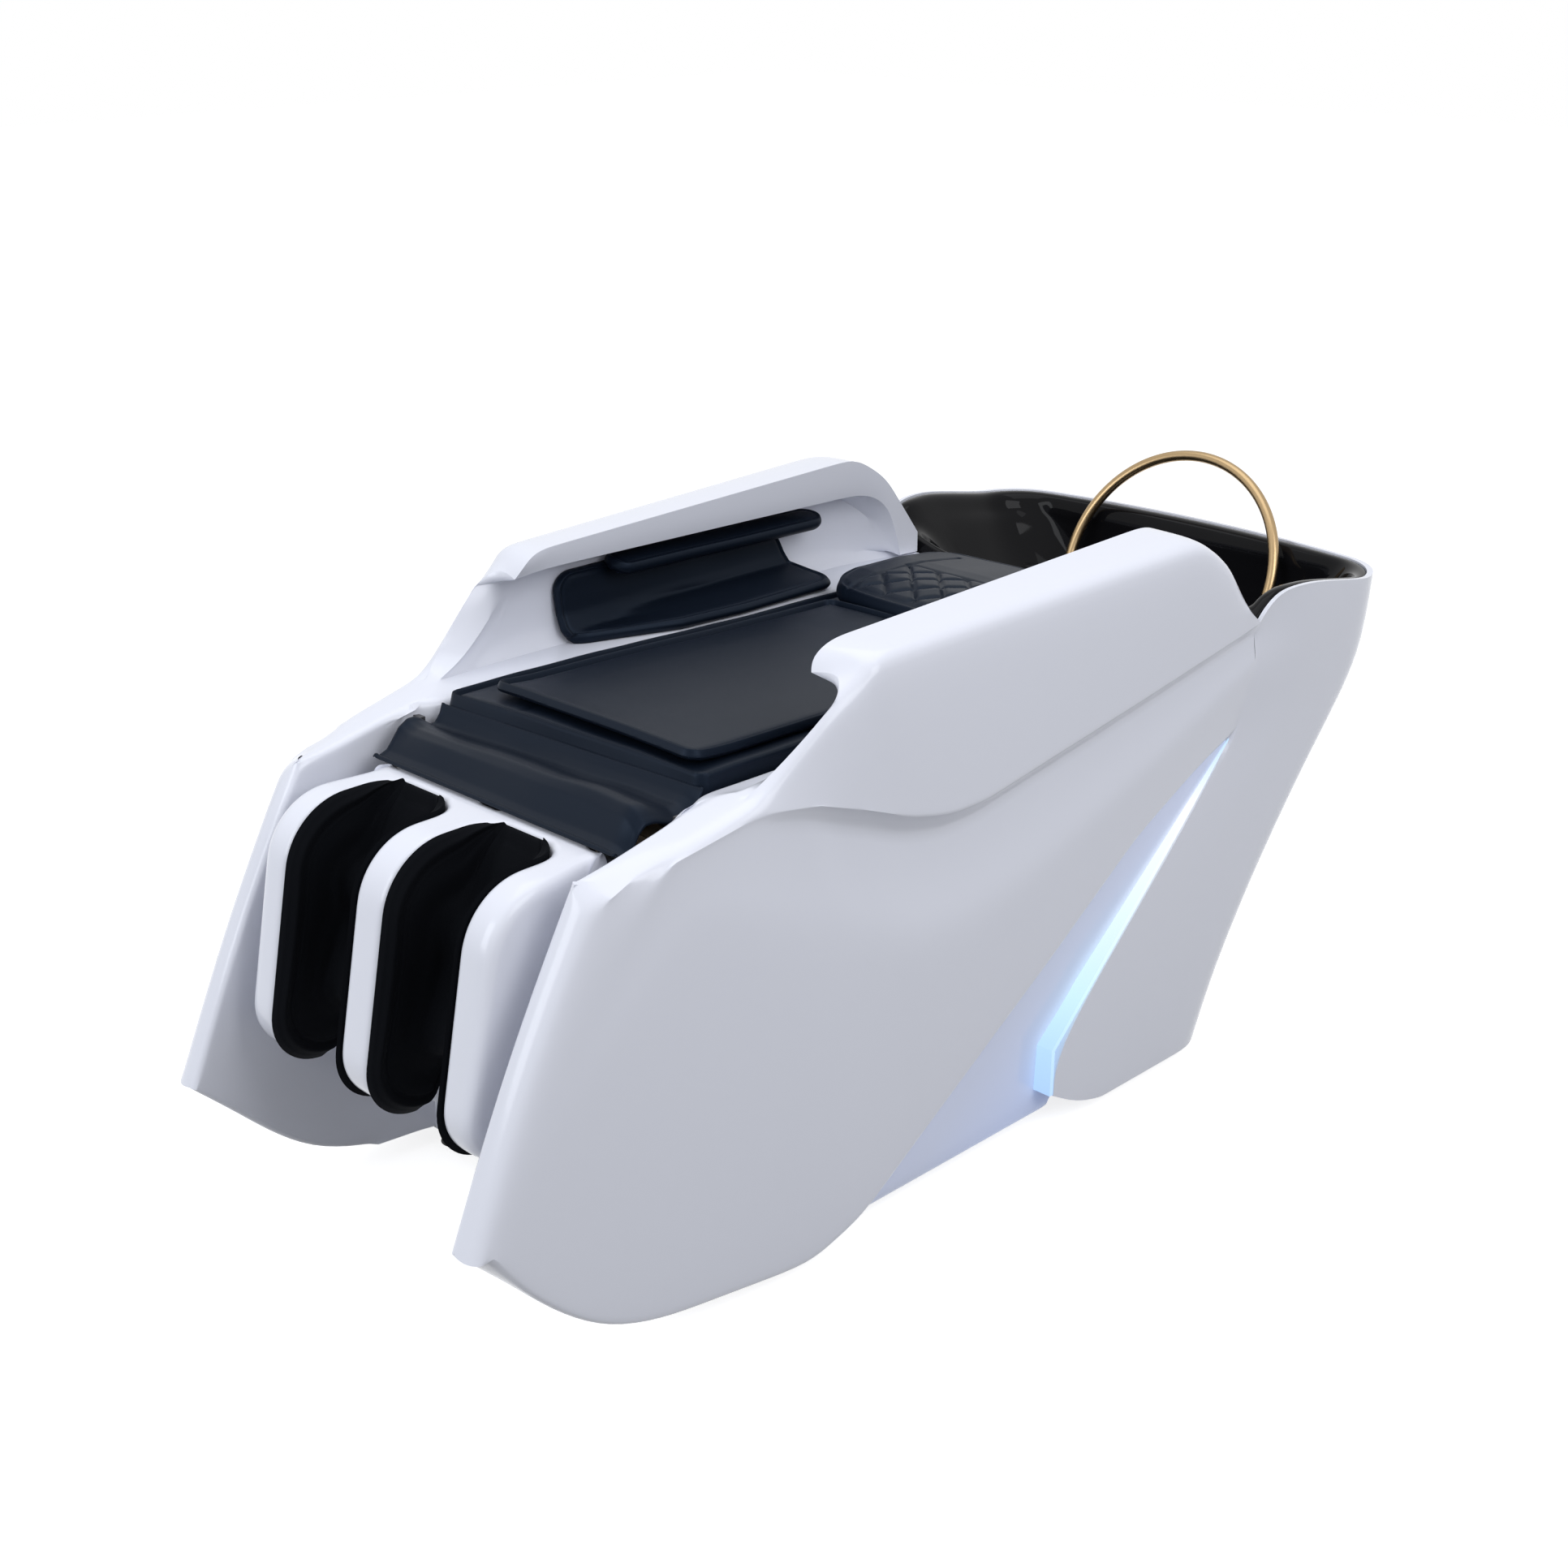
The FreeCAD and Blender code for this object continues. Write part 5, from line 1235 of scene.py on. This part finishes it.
for i in range(back_rows + 1):
    spot = back_place(back_run * i / back_rows)[0]
    back_lines.append([Vector((back_half * j / back_columns, *spot)) for j in range(back_columns + 1)])
calf_skins.append(stretch_skin(back_lines))
calf_shell = join_skins("calf_shell", calf_skins, 0.0003)
mirrored(calf_shell, 2, merge_threshold=0.0005)
smooth(calf_shell, 60)
paint(calf_shell, gel_coat)
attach(calf_shell, "legrest")
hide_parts("legrest_shell")

# Calf liners
# A knitted pad folded into each well over the air cells. Its edge is bound and double-stitched along the
# walls, it is gathered in pleats at the knee end, and its foot hangs a little below the walls.
liner_half = 0.200
liner_gap = 0.003
liner_depth = 0.112
liner_middle = Vector((-0.690, 0.460))
liner_set = -0.002
liner_thick = 0.011
liner_binding = (0.0022, 0.0045, 0.0022)
liner_stitches = ((0.0026, 0.0105, 0.0016), (0.0010, 0.0155, 0.0014))
fold_power = 0.45
gather_run = 0.115
pleat_deep = 0.0045
pleat_pitch = 95
liner_profile = [(-0.640, 0.640, 0), (-0.826, 0.640, 0.100), (-0.899, 0.277, 0.072), (-0.800, 0.277, 0)]
liner_run, liner_place = run_of(rounded_path(liner_profile))
liner_length = liner_run - well_rear - liner_gap
knit = slot_finish("black_fabric", 0.85, 0.0, 1900, 0.0002,
                   Base_Color=(0.0026, 0.0032, 0.0048, 1), Specular_IOR_Level=0.07)


def knit_liner(side_of):
    """The pad of one well, folded to a channel that runs out to the well's round end."""
    def liner_point(x, y, inside, face):
        along = well_rear + liner_gap + y
        spot, normal = liner_place(along)
        fold = math.radians(90) * max(-1.0, min(1.0, x / liner_half))
        past = min(1.0, (along - well_rear) / well_corner)
        chord = well_half - liner_gap - well_corner + well_corner * math.sqrt(max(0.0, 1 - (1 - past) ** 2))
        gather = max(0.0, 1 - y / gather_run)
        depth = liner_depth * (1 - gather ** 2) ** 0.8
        high, middle, half = liner_binding
        thick = liner_thick * roll(inside, 0.007) + high * ridge(inside, middle, half)
        for sunk, middle, half in liner_stitches:
            thick -= sunk * ridge(inside, middle, half)
        thick += 0.0040 * ripple(x, y, 22, 9, side_of * 3.0) * min(1.0, inside / 0.03)
        pleat = pleat_deep * gather * math.sin(x * pleat_pitch) * min(1.0, inside / 0.014)
        lay = thick if face > 0 else 0.0
        side_x = math.copysign(abs(math.sin(fold)) ** fold_power, fold) * (chord - lay * abs(math.sin(fold)))
        sink = max(0.0, depth - lay) * math.cos(fold) ** fold_power + pleat
        spot = spot + normal * (liner_set - lay * 0.5 * math.sin(fold) ** 8)
        spot = spot + (liner_middle - spot).normalized() * sink
        return side_of * (well_middle + side_x), spot.x, spot.y

    word = "left" if side_of > 0 else "right"
    liner = soft_slab(f"{word}_calf_liner", liner_half, liner_length, 0.012, 0.008, edge_lines, liner_point)
    paint(liner, knit)
    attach(liner, "legrest")
    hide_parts(f"{word}_leg_liner")


knit_liner(1)
knit_liner(-1)

# Seat apron
# A flap of leatherette sewn to the front of the mattress cover. It bridges the gap to the calf unit in one
# loose roll, and its piped hem lies on the cross band.
apron_half = 0.246
apron_thick = 0.0016
apron_path = [(-0.5135, 0.692), (-0.521, 0.682), (-0.533, 0.675), (-0.548, 0.673), (-0.563, 0.677),
              (-0.578, 0.681), (-0.592, 0.681), (-0.606, 0.674), (-0.617, 0.661), (-0.627, 0.650),
              (-0.638, 0.6455), (-0.650, 0.6445)]
apron_columns = 90
apron_rows = 60
apron_run, apron_place = run_of(evenly(apron_path, apron_columns))
hem_pipe = 0.0038
hem_start = 0.008
crest_at = 0.52
crest_half = 0.17
valley_at = 0.20
valley_half = 0.12
crest_lean = 0.009
crest_skew = 0.006
valley_drop = 0.004
curl_run = 0.030
far_curl = 0.010
near_curl = 0.020
edge_crowd = 1.35


def apron_point(x, along):
    """Point of the flap, whose roll is lower and tighter at its right end."""
    spot = apron_place(along)[0]
    share = along / apron_run
    crest = ridge(share, crest_at, crest_half)
    valley = ridge(share, valley_at, valley_half)
    lean = x / apron_half
    free = math.sin(math.pi * min(1.0, share * 1.02)) ** 0.7
    z = spot.y + crest * crest_lean * lean - valley_drop * valley * (1 - lean)
    z += free * 0.0050 * ripple(x, spot.x, 10, 16, 4.0)
    y = spot.x + bed_shift(x, 0) * (1 - share) ** 2 - crest * crest_skew * lean
    y += free * 0.0045 * ripple(x, spot.x, 9, 10, 9.0)
    left = apron_run - along
    z += 0.0036 * ridge(left, hem_pipe, 0.0024) - 0.0016 * ridge(left, hem_start, 0.0016)
    edge = apron_half - abs(x)
    z += 0.0012 * ridge(edge, 0.003, 0.002)
    curl = max(0.0, 1 - edge / curl_run) ** 2
    z += curl * (far_curl * crest if x < 0 else -near_curl * free)
    return Vector((x + 0.002 * math.sin(share * 9), y, z))


apron_lines = []
for row in range(apron_rows + 1):
    along = apron_run * (1 - (1 - row / apron_rows) ** 1.3)
    line = []
    for column in range(apron_columns + 1):
        across = column / apron_columns * 2 - 1
        line.append(apron_point(apron_half * math.sin(across * edge_crowd) / math.sin(edge_crowd), along))
    apron_lines.append(line)
apron = join_skins("seat_apron_flap", [stretch_skin(apron_lines)], 0.00002)
finish_with(apron, "SOLIDIFY", thickness=apron_thick, offset=0)
bpy.ops.object.shade_smooth()
paint(apron, leatherette)
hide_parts("seat_apron")
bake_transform(apron)
